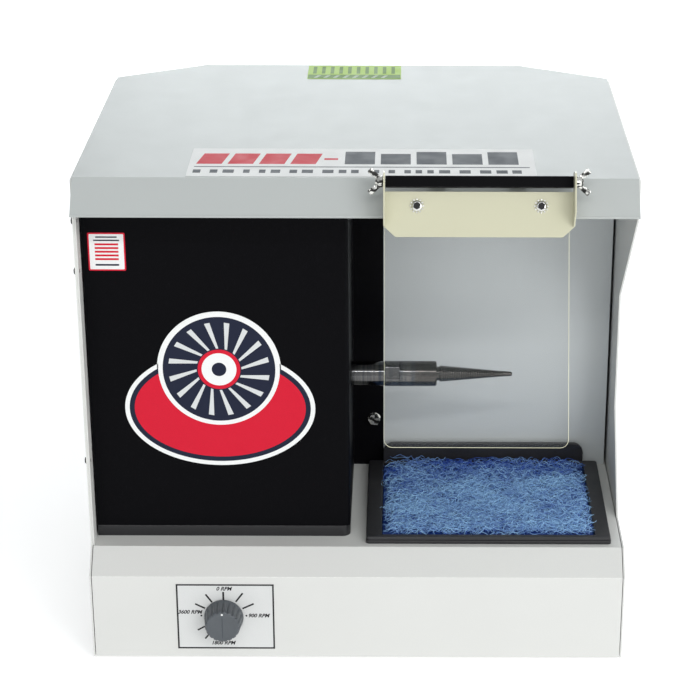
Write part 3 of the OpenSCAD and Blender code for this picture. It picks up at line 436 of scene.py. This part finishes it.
def skin_rings(bm, rings):
    """Joins equal rings of points in order, and caps the first and last."""
    rows = [[bm.verts.new(p) for p in ring] for ring in rings]
    n = len(rows[0])
    for a, b in zip(rows, rows[1:]):
        for i in range(n):
            j = (i + 1) % n
            bm.faces.new((a[i], a[j], b[j], b[i]))
    bm.faces.new(list(reversed(rows[0])))
    bm.faces.new(rows[-1])
    return rows


def facing_up(x, y, z):
    """Puts (u, v, w) on a level face: u along X, v along Y and w out of the face, from a corner in metres."""
    return lambda u, v, w: (x + u * MM, y + v * MM, z + w * MM)


def facing_front(x, y, z):
    """Puts (u, v, w) on a face that looks toward -Y: u along X, v up and w out of the face."""
    return lambda u, v, w: (x + u * MM, y - w * MM, z + v * MM)


def slab(bm, outline, to_world, depth, material=0):
    """A flat solid: outline points (u, v) put in place by to_world(u, v, w), from w = 0 to depth."""
    low = [bm.verts.new(to_world(u, v, 0)) for u, v in outline]
    high = [bm.verts.new(to_world(u, v, depth)) for u, v in outline]
    faces = [bm.faces.new(high), bm.faces.new(list(reversed(low)))]
    n = len(outline)
    for i in range(n):
        j = (i + 1) % n
        faces.append(bm.faces.new((low[i], low[j], high[j], high[i])))
    for f in faces:
        f.material_index = material


def box_outline(x0, y0, x1, y1):
    return [(x0, y0), (x1, y0), (x1, y1), (x0, y1)]


def round_outline(x0, y0, x1, y1, r, n=5):
    corners = [(x1 - r, y0 + r, -90), (x1 - r, y1 - r, 0), (x0 + r, y1 - r, 90), (x0 + r, y0 + r, 180)]
    return [(cx + r * math.cos(math.radians(a + 90 * i / n)), cy + r * math.sin(math.radians(a + 90 * i / n)))
            for cx, cy, a in corners for i in range(n + 1)]


def ring_outline(a, b, n, start=0.0):
    return [(a * math.cos(start + TAU * i / n), b * math.sin(start + TAU * i / n)) for i in range(n)]


def disc(x, y, a, b, n):
    return [(x + u, y + v) for u, v in ring_outline(a, b, n)]


def bar(x0, y0, x1, y1, lean=0.0):
    return [(x0, y0), (x1, y0), (x1 + lean, y1), (x0 + lean, y1)]


def printed(name, body, to_world, layers, replaced, thickness=0.3):
    """A stuck-on label: each layer is (ink, outlines), and each lies a hair above the one before."""
    bm = bmesh.new()
    inks = []
    for level, (which, outlines) in enumerate(layers):
        if INKS[which] not in inks:
            inks.append(INKS[which])
        top = thickness + 0.035 * level
        base = 0.0 if level == 0 else thickness
        for outline in outlines:
            slab(bm, outline, lambda u, v, w, b=base: to_world(u, v, b + w), top - base,
                 inks.index(INKS[which]))
    bmesh.ops.recalc_face_normals(bm, faces=bm.faces)
    return piece(name, bm, body, inks, replaced)


# ---- Spindle ----

FLAT_TURN = -TILT
SLEEVE_R, BODY_R, FLAT_HALF, NECK_R = 11.2, 11.75, 10.05, 6.5
SLEEVE_X, BODY_X, FLAT_END, GROUND_X, BODY_END = -11.5, 24.0, 37.6, 51.9, 72.0
THREAD_X, TIP_X = 75.0, 142.0
PITCH, THREAD_DEPTH, TAPER_R, TIP_R = 2.1, 0.55, 7.8, 1.9


def make_spindle():
    """Turned from one bar: a sleeve, a body with two wrench flats, a neck and a threaded taper."""
    around = 96
    angles = [TAU * i / around for i in range(around)]
    flats = [min(BODY_R, FLAT_HALF / max(abs(math.cos(a - FLAT_TURN)), 1e-6)) for a in angles]

    def turned(*profile):
        """Plain rings from (x, radius) pairs."""
        return [(x, [r] * around) for x, r in profile]

    rows = turned((SLEEVE_X, SLEEVE_R), (-8.0, SLEEVE_R), (8.0, SLEEVE_R), (BODY_X - 0.6, SLEEVE_R),
                  (BODY_X - 0.05, SLEEVE_R - 0.15), (BODY_X, SLEEVE_R + 0.1))
    rows += [(BODY_X + 0.3, flats), (FLAT_END - 0.15, flats)]
    rows += turned((FLAT_END, BODY_R - 0.12), (FLAT_END + 0.2, BODY_R), (GROUND_X - 0.1, BODY_R),
                   (GROUND_X + 0.1, BODY_R - 0.06), (62, BODY_R - 0.06), (BODY_END - 1.1, BODY_R - 0.06),
                   (BODY_END - 0.2, BODY_R - 0.9), (BODY_END, BODY_R - 1.2), (BODY_END + 0.05, NECK_R + 0.4),
                   (BODY_END + 0.5, NECK_R), (THREAD_X - 0.7, NECK_R), (THREAD_X - 0.1, NECK_R + 0.3),
                   (THREAD_X, TAPER_R - 0.75), (THREAD_X + 0.5, TAPER_R - 0.1))
    steps = 7                       # rings to each turn of the thread
    first, last = THREAD_X + 0.8, TIP_X - 1.6
    for k in range(int((last - first) / PITCH * steps)):
        x = first + k * PITCH / steps
        r = TAPER_R + (TIP_R - TAPER_R) * (x - THREAD_X) / (TIP_X - THREAD_X)
        depth = THREAD_DEPTH * max(min(1.0, (TIP_X - 4 - x) / 8, (x - THREAD_X) / 2), 0)
        rows.append((x, [r - depth * (0.5 - 0.5 * math.cos(TAU * (x / PITCH + a / TAU))) ** 1.6
                         for a in angles]))
    rows += turned((TIP_X - 0.8, TIP_R - 0.1), (TIP_X - 0.25, TIP_R * 0.75), (TIP_X, TIP_R * 0.35))
    bm = bmesh.new()
    ground = bm.verts.layers.float.new("ground")
    rings = [[(x * MM, AXIS.y + r * MM * math.cos(a), AXIS.z + r * MM * math.sin(a))
              for r, a in zip(radii, angles)] for x, radii in rows]
    made = skin_rings(bm, rings)
    for (x, _), row in zip(rows, made):
        for v in row:
            v[ground] = 1.0 if x > GROUND_X else 0.0
    piece("spindle_look", bm, "rotor", PAINTS["dark_steel"], ["taper_spindle"], smooth=25)


# ---- Speed control ----

KNOB_GAP, FLUTES = 1.2, 20


def make_knob():
    """A fluted knob: a plain rim against the panel, grooves up the sides and a faintly dished face."""
    around = FLUTES * 10
    angles = [TAU * i / around for i in range(around)]
    # (out from the panel side, radius, depth of the grooves there)
    profile = [(0.0, 16.9, 0), (0.0, 17.6, 0), (0.35, 17.95, 0), (2.6, 17.7, 0), (3.0, 17.45, 0),
               (3.5, 17.4, 0.5), (4.3, 17.3, 1), (9, 16.8, 1), (14, 16.3, 1), (16.8, 15.9, 1),
               (17.8, 15.4, 0.8), (18.5, 14.7, 0.45), (18.85, 13.9, 0.1), (18.9, 13.0, 0),
               (18.7, 12.2, 0), (18.5, 11.0, 0), (18.4, 6, 0), (18.35, 1.2, 0)]
    bm = bmesh.new()
    rings = []
    for y, r, depth in profile:
        ring = []
        for a in angles:
            groove = max(0.0, math.cos(FLUTES * a)) ** 1.5 * 1.15 * depth
            q = (r - groove) * MM
            ring.append((DIAL.x + q * math.sin(a), DIAL.y - (KNOB_GAP + y) * MM, DIAL.z + q * math.cos(a)))
        rings.append(ring)
    skin_rings(bm, rings)
    bmesh.ops.recalc_face_normals(bm, faces=bm.faces)
    piece("knob_look", bm, "knob", PAINTS["knob"], ["speed_knob"], smooth=40)
    marks = (("knob_dot", disc(0, 12.9, 0.95, 0.95, 24), 18.3, 0.75, INKS["white"]),
             ("knob_line", box_outline(-0.22, -12.6, 0.22, 11.6), 18.2, 0.42, INKS["grey"]))
    for name, outline, out, height, paint in marks:
        bm = bmesh.new()
        slab(bm, outline, facing_front(DIAL.x, DIAL.y - (KNOB_GAP + out) * MM, DIAL.z), height)
        bmesh.ops.recalc_face_normals(bm, faces=bm.faces)
        piece(name, bm, "knob", paint)


def add_text(bm, text, u, v, size, to_world, material, depth):
    """Adds generic slanted lettering, centred on (u, v), as thin solid letters."""
    data = bpy.data.curves.new("lettering", "FONT")
    data.body = text
    data.size = size
    data.align_x, data.align_y = "CENTER", "CENTER"
    data.shear = 0.3
    data.offset = size * 0.03
    data.extrude = 0.5
    data.resolution_u = 3
    holder = bpy.data.objects.new("lettering", data)
    bpy.context.scene.collection.objects.link(holder)
    bpy.context.view_layer.update()
    made = bpy.data.meshes.new_from_object(holder.evaluated_get(bpy.context.evaluated_depsgraph_get()))
    verts = [bm.verts.new(to_world(u + p.co.x, v + p.co.y, depth * (p.co.z + 0.5))) for p in made.vertices]
    for f in made.polygons:
        try:
            bm.faces.new([verts[i] for i in f.vertices]).material_index = material
        except ValueError:
            pass
    bpy.data.objects.remove(holder)
    bpy.data.meshes.remove(made)
    bpy.data.curves.remove(data)


def make_dial():
    """A plate with a frame line, tick marks and a speed at each quarter turn."""
    low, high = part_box("dial_plate")
    x0, x1 = (low.x - DIAL.x) / MM, (high.x - DIAL.x) / MM
    z0, z1 = (low.z - DIAL.z) / MM, (high.z - DIAL.z) / MM
    plate_t, ink_t, line, letter = 0.3, 0.06, 1.5, 5.2
    put = facing_front(*DIAL)
    on_plate = facing_front(DIAL.x, DIAL.y - plate_t * MM, DIAL.z)
    bm = bmesh.new()
    slab(bm, round_outline(x0, z0, x1, z1, 1.0), put, plate_t)
    for frame_line in ((x0, z0, x1, z0 + line), (x0, z1 - line, x1, z1),
                       (x0, z0 + line, x0 + line, z1 - line), (x1 - line, z0 + line, x1, z1 - line)):
        slab(bm, box_outline(*frame_line), on_plate, ink_t, 1)
    # (degrees from the top, inner radius, outer radius, width)
    ticks = [(0, 14, 25.5, 1.7), (-35, 18, 28, 1.6), (36, 19, 30, 1.6), (-63, 19, 29, 1.6),
             (64, 19, 30.5, 1.6), (217.6, 20, 29, 1.5), (240, 20, 28, 1.5)]
    for turn, r0, r1, w in ticks:
        a = math.radians(turn)
        along, across = (math.sin(a), math.cos(a)), (math.cos(a), -math.sin(a))
        outline = [(along[0] * r + across[0] * s * w / 2, along[1] * r + across[1] * s * w / 2)
                   for r, s in ((r0, -1), (r0, 1), (r1, 1), (r1, -1))]
        slab(bm, outline, on_plate, ink_t, 1)
    for u in (-20.5, 20.5):
        slab(bm, disc(u, 1, 0.9, 0.9, 16), on_plate, ink_t, 1)
    bmesh.ops.recalc_face_normals(bm, faces=bm.faces)
    speeds = (("0 RPM", 0.5, 28.6), ("900 RPM", 31.5, 1.0), ("1800 RPM", -1.5, -27.4),
              ("3600 RPM", -31, 4.6))
    for text, u, v in speeds:
        add_text(bm, text, u, v, letter, on_plate, 1, ink_t)
    piece("dial_look", bm, "cabinet", [INKS["plate"], INKS["black"]], ["dial_plate"])


# ---- Labels: plain blocks, bars and stripes stand where the real ones carry words and pictures ----

def make_hood_label():
    low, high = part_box("hood_label")
    w, h = (high.x - low.x) / MM, (high.y - low.y) / MM
    rng = random.Random(3)
    red = [bar(6 + 27 * i, 34, 6 + 27 * i + 22, 64, 5) for i in range(4)]
    dark = [bar(134 + 31 * i, 34, 134 + 31 * i + 26, 70 - 6 * (i % 2), 0) for i in range(5)]
    dashes, u = [], 5.0
    while u < w - 14:
        step = rng.choice((5.5, 6.5, 8, 9.5))
        dashes.append(bar(u, 9, u + step, 18))
        u += step + rng.choice((4, 4.5, 8))
    printed("hood_label_look", "cabinet", facing_up(*low),
            [("white", [round_outline(0, 0, w, h, 1.5)]),
             ("red", red + [bar(116, 46, 128, 51)]),
             ("grey", dark + [bar(5, 25, w - 5, 27)] + dashes)], ["hood_label"])


def make_exhaust_label():
    low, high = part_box("exhaust_label")
    w, h = (high.x - low.x) / MM, (high.y - low.y) / MM
    bars = [bar(5 + 8.6 * i, 19, 8.5 + 8.6 * i, h - 4) for i in range(10)]
    slashes = [bar(6 + 9.4 * i, 3.5, 9.5 + 9.4 * i, 12.5, 4) for i in range(8)]
    printed("exhaust_label_look", "cabinet", facing_up(*low),
            [("lime", [round_outline(0, 0, w, h, 1.5)]),
             ("moss", bars + [bar(0.6, 1, w - 0.6, 15)]),
             ("sage", slashes)], ["exhaust_label"])


def make_emblem():
    """A plain oval badge with a polishing wheel in front of it."""
    low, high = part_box("cover_emblem")
    middle_x = (low.x + high.x) / 2
    oval_z = low.z + 56 * MM
    wheel_z = 38                    # the wheel's centre, up from the oval's
    pleats = []
    for i in range(16):
        a = TAU * i / 16
        pleats.append([(r * math.cos(a + t), wheel_z + r * math.sin(a + t))
                       for r, t in ((20, 0.00), (45, 0.16), (45, 0.27), (20, 0.11))])
    layers = [("white", [disc(0, 0, 85, 56, 96), disc(0, wheel_z, 55, 55, 96)]),
              ("navy", [disc(0, 0, 81, 52, 96)]), ("red", [disc(0, 0, 76.5, 47.5, 96)]),
              ("white", [disc(0, wheel_z, 54, 54, 96)]), ("navy", [disc(0, wheel_z, 50, 50, 96)]),
              ("pale", pleats), ("red", [disc(0, wheel_z, 19, 19, 48)]),
              ("white", [disc(0, wheel_z, 15.5, 15.5, 48)]), ("navy", [disc(0, wheel_z, 6.5, 6.5, 32)])]
    printed("emblem_look", "cabinet", facing_front(middle_x, high.y, oval_z), layers, ["cover_emblem"],
            thickness=0.2)


def make_sticker():
    low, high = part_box("cover_sticker")
    w, h = (high.x - low.x) / MM, (high.z - low.z) / MM
    stripes = [bar(6, 9.8 + 3.4 * i, w - 6, 11.6 + 3.4 * i) for i in range(5)]
    lines = [bar(7, 30.4, w - 7, 31.6), bar(5, 27.4, w - 5, 28.6), bar(6, 4.6, w - 6, 6.2)]
    printed("sticker_look", "cabinet", facing_front(low.x, high.y, low.z),
            [("red", [round_outline(0, 0, w, h, 1.2)]),
             ("white", [round_outline(1.3, 1.3, w - 1.3, h - 1.3, 0.8)]),
             ("red", stripes),
             ("navy", lines)], ["cover_sticker"], thickness=0.2)


# ---- Shield ----

def shield_point(x, y, z):
    """A point given along X and, from the pivot, across (y) and along (z) the leaning shield, in mm."""
    c, s = math.cos(TILT), math.sin(TILT)
    return Vector((x * MM, PIVOT.y + (y * c + z * s) * MM, PIVOT.z + (z * c - y * s) * MM))


SHIELD_X = (24.0, 184.0)            # the bracket's sides, along X
PLATE_FACE = 2.0                    # its plate's front face, behind the pivot


def make_pane():
    """The clear sheet, with its cut edges given a painted yellowish glow for the light carried inside it."""
    bm = solid_of("shield_pane")
    round_edges(bm, 0.3, angle=40)
    across = (shield_point(0, 1, 0) - shield_point(0, 0, 0)).normalized()
    bm.normal_update()
    for f in bm.faces:
        f.material_index = 0 if abs(f.normal.dot(across)) > 0.97 else 1
    even_shading(piece("pane_look", bm, "shield", [PAINTS["clear"], PAINTS["pane_edge_glow"]], ["shield_pane"],
                       smooth=50))


def lathe(bm, profile, to_world, around):
    """A turned solid: (height, radius) pairs, put in place by to_world(u, v, height)."""
    rows = [[bm.verts.new(to_world(r * math.cos(TAU * i / around), r * math.sin(TAU * i / around), h))
             for i in range(around)] for h, r in profile]
    for a, b in zip(rows, rows[1:]):
        for i in range(around):
            j = (i + 1) % around
            bm.faces.new((a[i], a[j], b[j], b[i]))
    bm.faces.new(list(reversed(rows[0])))
    bm.faces.new(rows[-1])


def make_bracket_screws():
    """Round-headed screws with a dark socket, each on a toothed lock washer."""
    bm = bmesh.new()
    for x in (SHIELD_X[0] + 28, SHIELD_X[1] - 28):
        def put(u, v, w, x=x):
            return shield_point(x + u, PLATE_FACE - w, v - 20)
        teeth, turns = [], 12
        for i in range(turns):
            a = TAU * i / turns
            for r, t in ((4.6, -0.11), (6.0, -0.13), (6.0, 0.09), (4.6, 0.11)):
                teeth.append((r * math.cos(a + t), r * math.sin(a + t)))
        slab(bm, teeth, put, 0.75)
        lathe(bm, [(0.5, 4.7), (1.1, 4.8), (1.8, 4.5), (2.5, 3.9), (2.85, 3.2), (3.0, 1.0)], put, 40)
        slab(bm, ring_outline(3.2, 3.2, 6, 0.4), lambda u, v, w, p=put: p(u, v, 2.4 + w), 0.7, 1)
        lathe(bm, [(-8.2, 1.7), (-8.0, 2.0), (0.5, 2.0)], put, 24)
    bmesh.ops.recalc_face_normals(bm, faces=bm.faces)
    piece("screws_look", bm, "shield", [PAINTS["washer"], PAINTS["black_screw"]], ["bracket_screws"])


def make_wing_nut(side, name):
    """A stamped wing nut: hub and two wings, fused and softened."""
    bm = bmesh.new()
    x0 = SHIELD_X[0] - 0.4 if side < 0 else SHIELD_X[1] + 0.4

    def put(u, v, w):
        return shield_point(x0 + side * w, u, v)

    lathe(bm, [(0, 4.6), (0.3, 5.0), (3.2, 4.5), (4.7, 4.1), (5.2, 3.6)], put, 40)
    for s in (1, -1):
        outline = [(0.6, 2.6), (2.6, 4.9), (9.2, 11.2), (10.2, 11.4), (12.8, 8.4), (12.6, 7.4), (9.0, 4.6),
                   (4.8, 2.2)]
        slab(bm, outline, lambda u, v, w, s=s: shield_point(x0 + side * u, w - 1.15, s * v), 2.3)
    bmesh.ops.recalc_face_normals(bm, faces=bm.faces)
    rough = bpy.data.meshes.new("nut_rough")
    bm.to_mesh(rough)
    bm.free()
    holder = bpy.data.objects.new("nut_rough", rough)
    bpy.context.scene.collection.objects.link(holder)
    fuse = holder.modifiers.new("fuse", "REMESH")
    fuse.mode = "VOXEL"
    fuse.voxel_size = 0.33 * MM
    soften = holder.modifiers.new("soften", "SMOOTH")
    soften.iterations = 4
    bpy.context.view_layer.update()
    made = bpy.data.meshes.new_from_object(holder.evaluated_get(bpy.context.evaluated_depsgraph_get()))
    bpy.data.objects.remove(holder)
    bpy.data.meshes.remove(rough)
    body = "wing_left" if side < 0 else "wing_right"
    piece(name + "_look", made, body, PAINTS["zinc"], [name], smooth=60)


# ---- Filter pads ----

def strands(name, body, paint, places, seed, radius):
    """A mat of loose crimped fibres as one mesh.

    places(rng) lists them as (centre, heading, length, crimp, wave, lift, tone): crimp is the side swing
    of each wave, wave its length, lift the arch of the whole strand and tone its shade from 0 to 1.
    """
    rng = random.Random(seed)
    sides, spans = 3, 12
    verts, faces, shades = [], [], []
    for centre, heading, length, crimp, wave, lift, tone in places(rng):
        base = len(verts)
        phase = rng.random() * TAU
        bow = rng.uniform(-0.5, 0.5)
        path = []
        for k in range(spans + 1):
            t = k / spans - 0.5
            a = heading + bow * t * 2
            side = math.sin(phase + TAU * t * length / wave) * crimp
            up = lift * (0.25 - t * t) * 4 + math.cos(phase * 1.7 + TAU * t * length / wave) * crimp * 0.5
            path.append(Vector((centre[0] + math.cos(a) * t * length - math.sin(a) * side,
                                centre[1] + math.sin(a) * t * length + math.cos(a) * side, centre[2] + up)))
        for k, p in enumerate(path):
            ahead = (path[min(k + 1, spans)] - path[max(k - 1, 0)]).normalized()
            across = ahead.cross(Vector((0, 0, 1))).normalized()
            up = across.cross(ahead)
            r = radius * (0.55 if k in (0, spans) else 1.0)
            for s in range(sides):
                a = TAU * s / sides
                verts.append(p + (across * math.cos(a) + up * math.sin(a)) * r)
        shades += [tone] * (sides * (spans + 1))
        for k in range(spans):
            for s in range(sides):
                j = (s + 1) % sides
                a, b = base + k * sides, base + (k + 1) * sides
                faces.append((a + s, a + j, b + j, b + s))
        faces.append(tuple(base + s for s in reversed(range(sides))))
        faces.append(tuple(base + spans * sides + s for s in range(sides)))
    mesh = bpy.data.meshes.new(name)
    mesh.from_pydata([tuple(v * MM) for v in verts], [], faces)
    layer = mesh.attributes.new("shade", "FLOAT", "POINT")
    layer.data.foreach_set("value", np.array(shades, np.float32))
    return piece(name, mesh, body, paint, smooth=80)


def lumpy_block(name, body, low, high, paint, replaced, rise, seed, cell=3.0):
    """A soft block: a crowned, uneven top and sides that pull in a little at mid height."""
    size = (high - low) / MM
    nx, ny = max(8, int(size.x / cell)), max(8, int(size.y / cell))
    nz = 4
    bm = bmesh.new()
    rng = np.random.default_rng(seed)
    waves = [(rng.uniform(0.02, 0.16), rng.uniform(0.02, 0.16), rng.uniform(0, TAU), rng.uniform(0.3, 1.0))
             for _ in range(14)]

    def height(x, y):
        total = sum(k * math.sin(a * x + b * y + c) for a, b, c, k in waves) / 6
        edge = min(x, size.x - x, y, size.y - y)
        return rise * (total + 0.8 * (1 - math.exp(-edge / 12.0)) - 0.8)

    def point(i, j, k):
        x, y = size.x * i / nx, size.y * j / ny
        t = k / nz
        pull = 0.8 * math.sin(math.pi * t) if i in (0, nx) or j in (0, ny) else 0
        px = x + (pull if i == 0 else -pull if i == nx else 0)
        py = y + (pull if j == 0 else -pull if j == ny else 0)
        z = size.z * t + (height(x, y) * t if k else 0)
        return bm.verts.new((low.x + px * MM, low.y + py * MM, low.z + z * MM))

    shell = {}
    for i in range(nx + 1):
        for j in range(ny + 1):
            for k in range(nz + 1):
                if i in (0, nx) or j in (0, ny) or k in (0, nz):
                    shell[i, j, k] = point(i, j, k)
    for i in range(nx):
        for j in range(ny):
            bm.faces.new([shell[i, j, nz], shell[i + 1, j, nz], shell[i + 1, j + 1, nz], shell[i, j + 1, nz]])
            bm.faces.new([shell[i, j + 1, 0], shell[i + 1, j + 1, 0], shell[i + 1, j, 0], shell[i, j, 0]])
    for k in range(nz):
        for i in range(nx):
            bm.faces.new([shell[i, 0, k], shell[i + 1, 0, k], shell[i + 1, 0, k + 1], shell[i, 0, k + 1]])
            bm.faces.new([shell[i + 1, ny, k], shell[i, ny, k], shell[i, ny, k + 1], shell[i + 1, ny, k + 1]])
        for j in range(ny):
            bm.faces.new([shell[0, j + 1, k], shell[0, j, k], shell[0, j, k + 1], shell[0, j + 1, k + 1]])
            bm.faces.new([shell[nx, j, k], shell[nx, j + 1, k], shell[nx, j + 1, k + 1], shell[nx, j, k + 1]])
    return piece(name, bm, body, paint, replaced, smooth=70)


PAD_STRANDS = 5000
PAD_SKIN = 4.6                      # depth of the loose strands over the core
BACK_RISE, BACK_FROM = 5.0, 0.82    # the back rows climb the tray's upstand


def make_filter_pad():
    low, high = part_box("filter_pad")
    core_top = high - Vector((0, 0, 4 * MM))
    core = lumpy_block("pad_core", "pad", low, core_top, PAINTS["pad_core"], ["filter_pad"], 2.4, 5)
    x0, y0, x1, y1, top = low.x / MM, low.y / MM, high.x / MM, high.y / MM, high.z / MM

    def places(rng):
        made = []
        for _ in range(PAD_STRANDS):
            deep = rng.random()
            length = rng.uniform(12, 26)
            heading = rng.gauss(0, 0.8) if rng.random() < 0.7 else rng.uniform(0, math.pi)
            half = length / 2
            ex, ey = half * abs(math.cos(heading)), half * abs(math.sin(heading))
            x = rng.uniform(x0 + ex + 0.8, x1 - ex + 0.6)
            y = rng.uniform(y0 + ey + 1.8, y1 - ey - 1.8)
            back = (y - y0) / (y1 - y0)
            climb = BACK_RISE * max(0.0, back - BACK_FROM) / (1 - BACK_FROM)
            z = top - PAD_SKIN + PAD_SKIN * deep + climb
            patch = math.sin(x * 0.071 + 1.3) * math.sin(y * 0.083 + 0.4)
            patch += 0.5 * math.sin(x * 0.031 - y * 0.052)
            # Strands lower in the skin and toward the back are darker: a painted shade, on top of random tone
            # and broad patches
            tone = rng.gauss(0.35 + 0.46 * deep + 0.13 * patch, 0.28) - 1.9 * max(0.0, back - 0.68)
            made.append(((x, y, z), heading, length, rng.uniform(1.6, 3.6), rng.uniform(9, 15),
                         rng.uniform(-0.6, 2.6), min(1.0, max(0.0, tone))))
        made.sort(key=lambda m: m[0][2])
        return made

    mat = strands("pad_fibres", "pad", PAINTS["pad"], places, 11, 0.22)


def make_exhaust_filter():
    low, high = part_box("exhaust_filter")
    core = lumpy_block("exhaust_media", "cabinet", low, high, PAINTS["filter_media"], ["exhaust_filter"],
                       0.6, 9, cell=6)


make_camera()
make_stage()

# ---- Sheet metal and plain parts ----

for node in ("base_pan", "front_deck", "left_panel", "right_panel", "rear_cover", "cover_stop"):
    refined(node, PAINTS["cabinet"], 0.4, segments=3)
refined("hood", PAINTS["hood"], 0.7, segments=3)
refined("back_wall", PAINTS["wall"], 0.7, segments=3)
refined("motor_chassis", PAINTS["chassis"], 0.35)
for node in ("motor_cover", "pivot_bar", "exhaust_grille"):
    refined(node, PAINTS["black_coat"], 0.35)
refined("shield_bracket", PAINTS["cream_coat"], 0.4, segments=3)
for node in ("filter_tray", "filter_frame"):
    refined(node, PAINTS["tray"], 0.6, segments=3)
for node in ("flange_bolts", "bracket_nuts", "pivot_studs", "pot_nut"):
    refined(node, PAINTS["zinc"], 0.3)
for node in ("panel_screws", "rear_screws"):
    refined(node, PAINTS["black_screw"], 0.25)
refined("power_inlet", PAINTS["black_plastic"], 0.3)
refined("rubber_feet", PAINTS["rubber"], 0.4)
make_spindle()
make_knob()
make_dial()
make_hood_label()
make_exhaust_label()
make_emblem()
make_sticker()
make_pane()
make_bracket_screws()
make_wing_nut(-1, "wing_nut_left")
make_wing_nut(1, "wing_nut_right")
make_filter_pad()
make_exhaust_filter()

# ---- Everything else keeps its CAD mesh and takes its slot's paint ----

slot_of = {s["node"]: s["material_slot"] for s in frame["record"]["subparts"]}
for name, obj in nodes.items():
    if not obj.hide_render:
        paint = PAINTS.get(slot_of[name]) or INKS["white"]
        obj.data.materials.clear()
        obj.data.materials.append(paint.material)
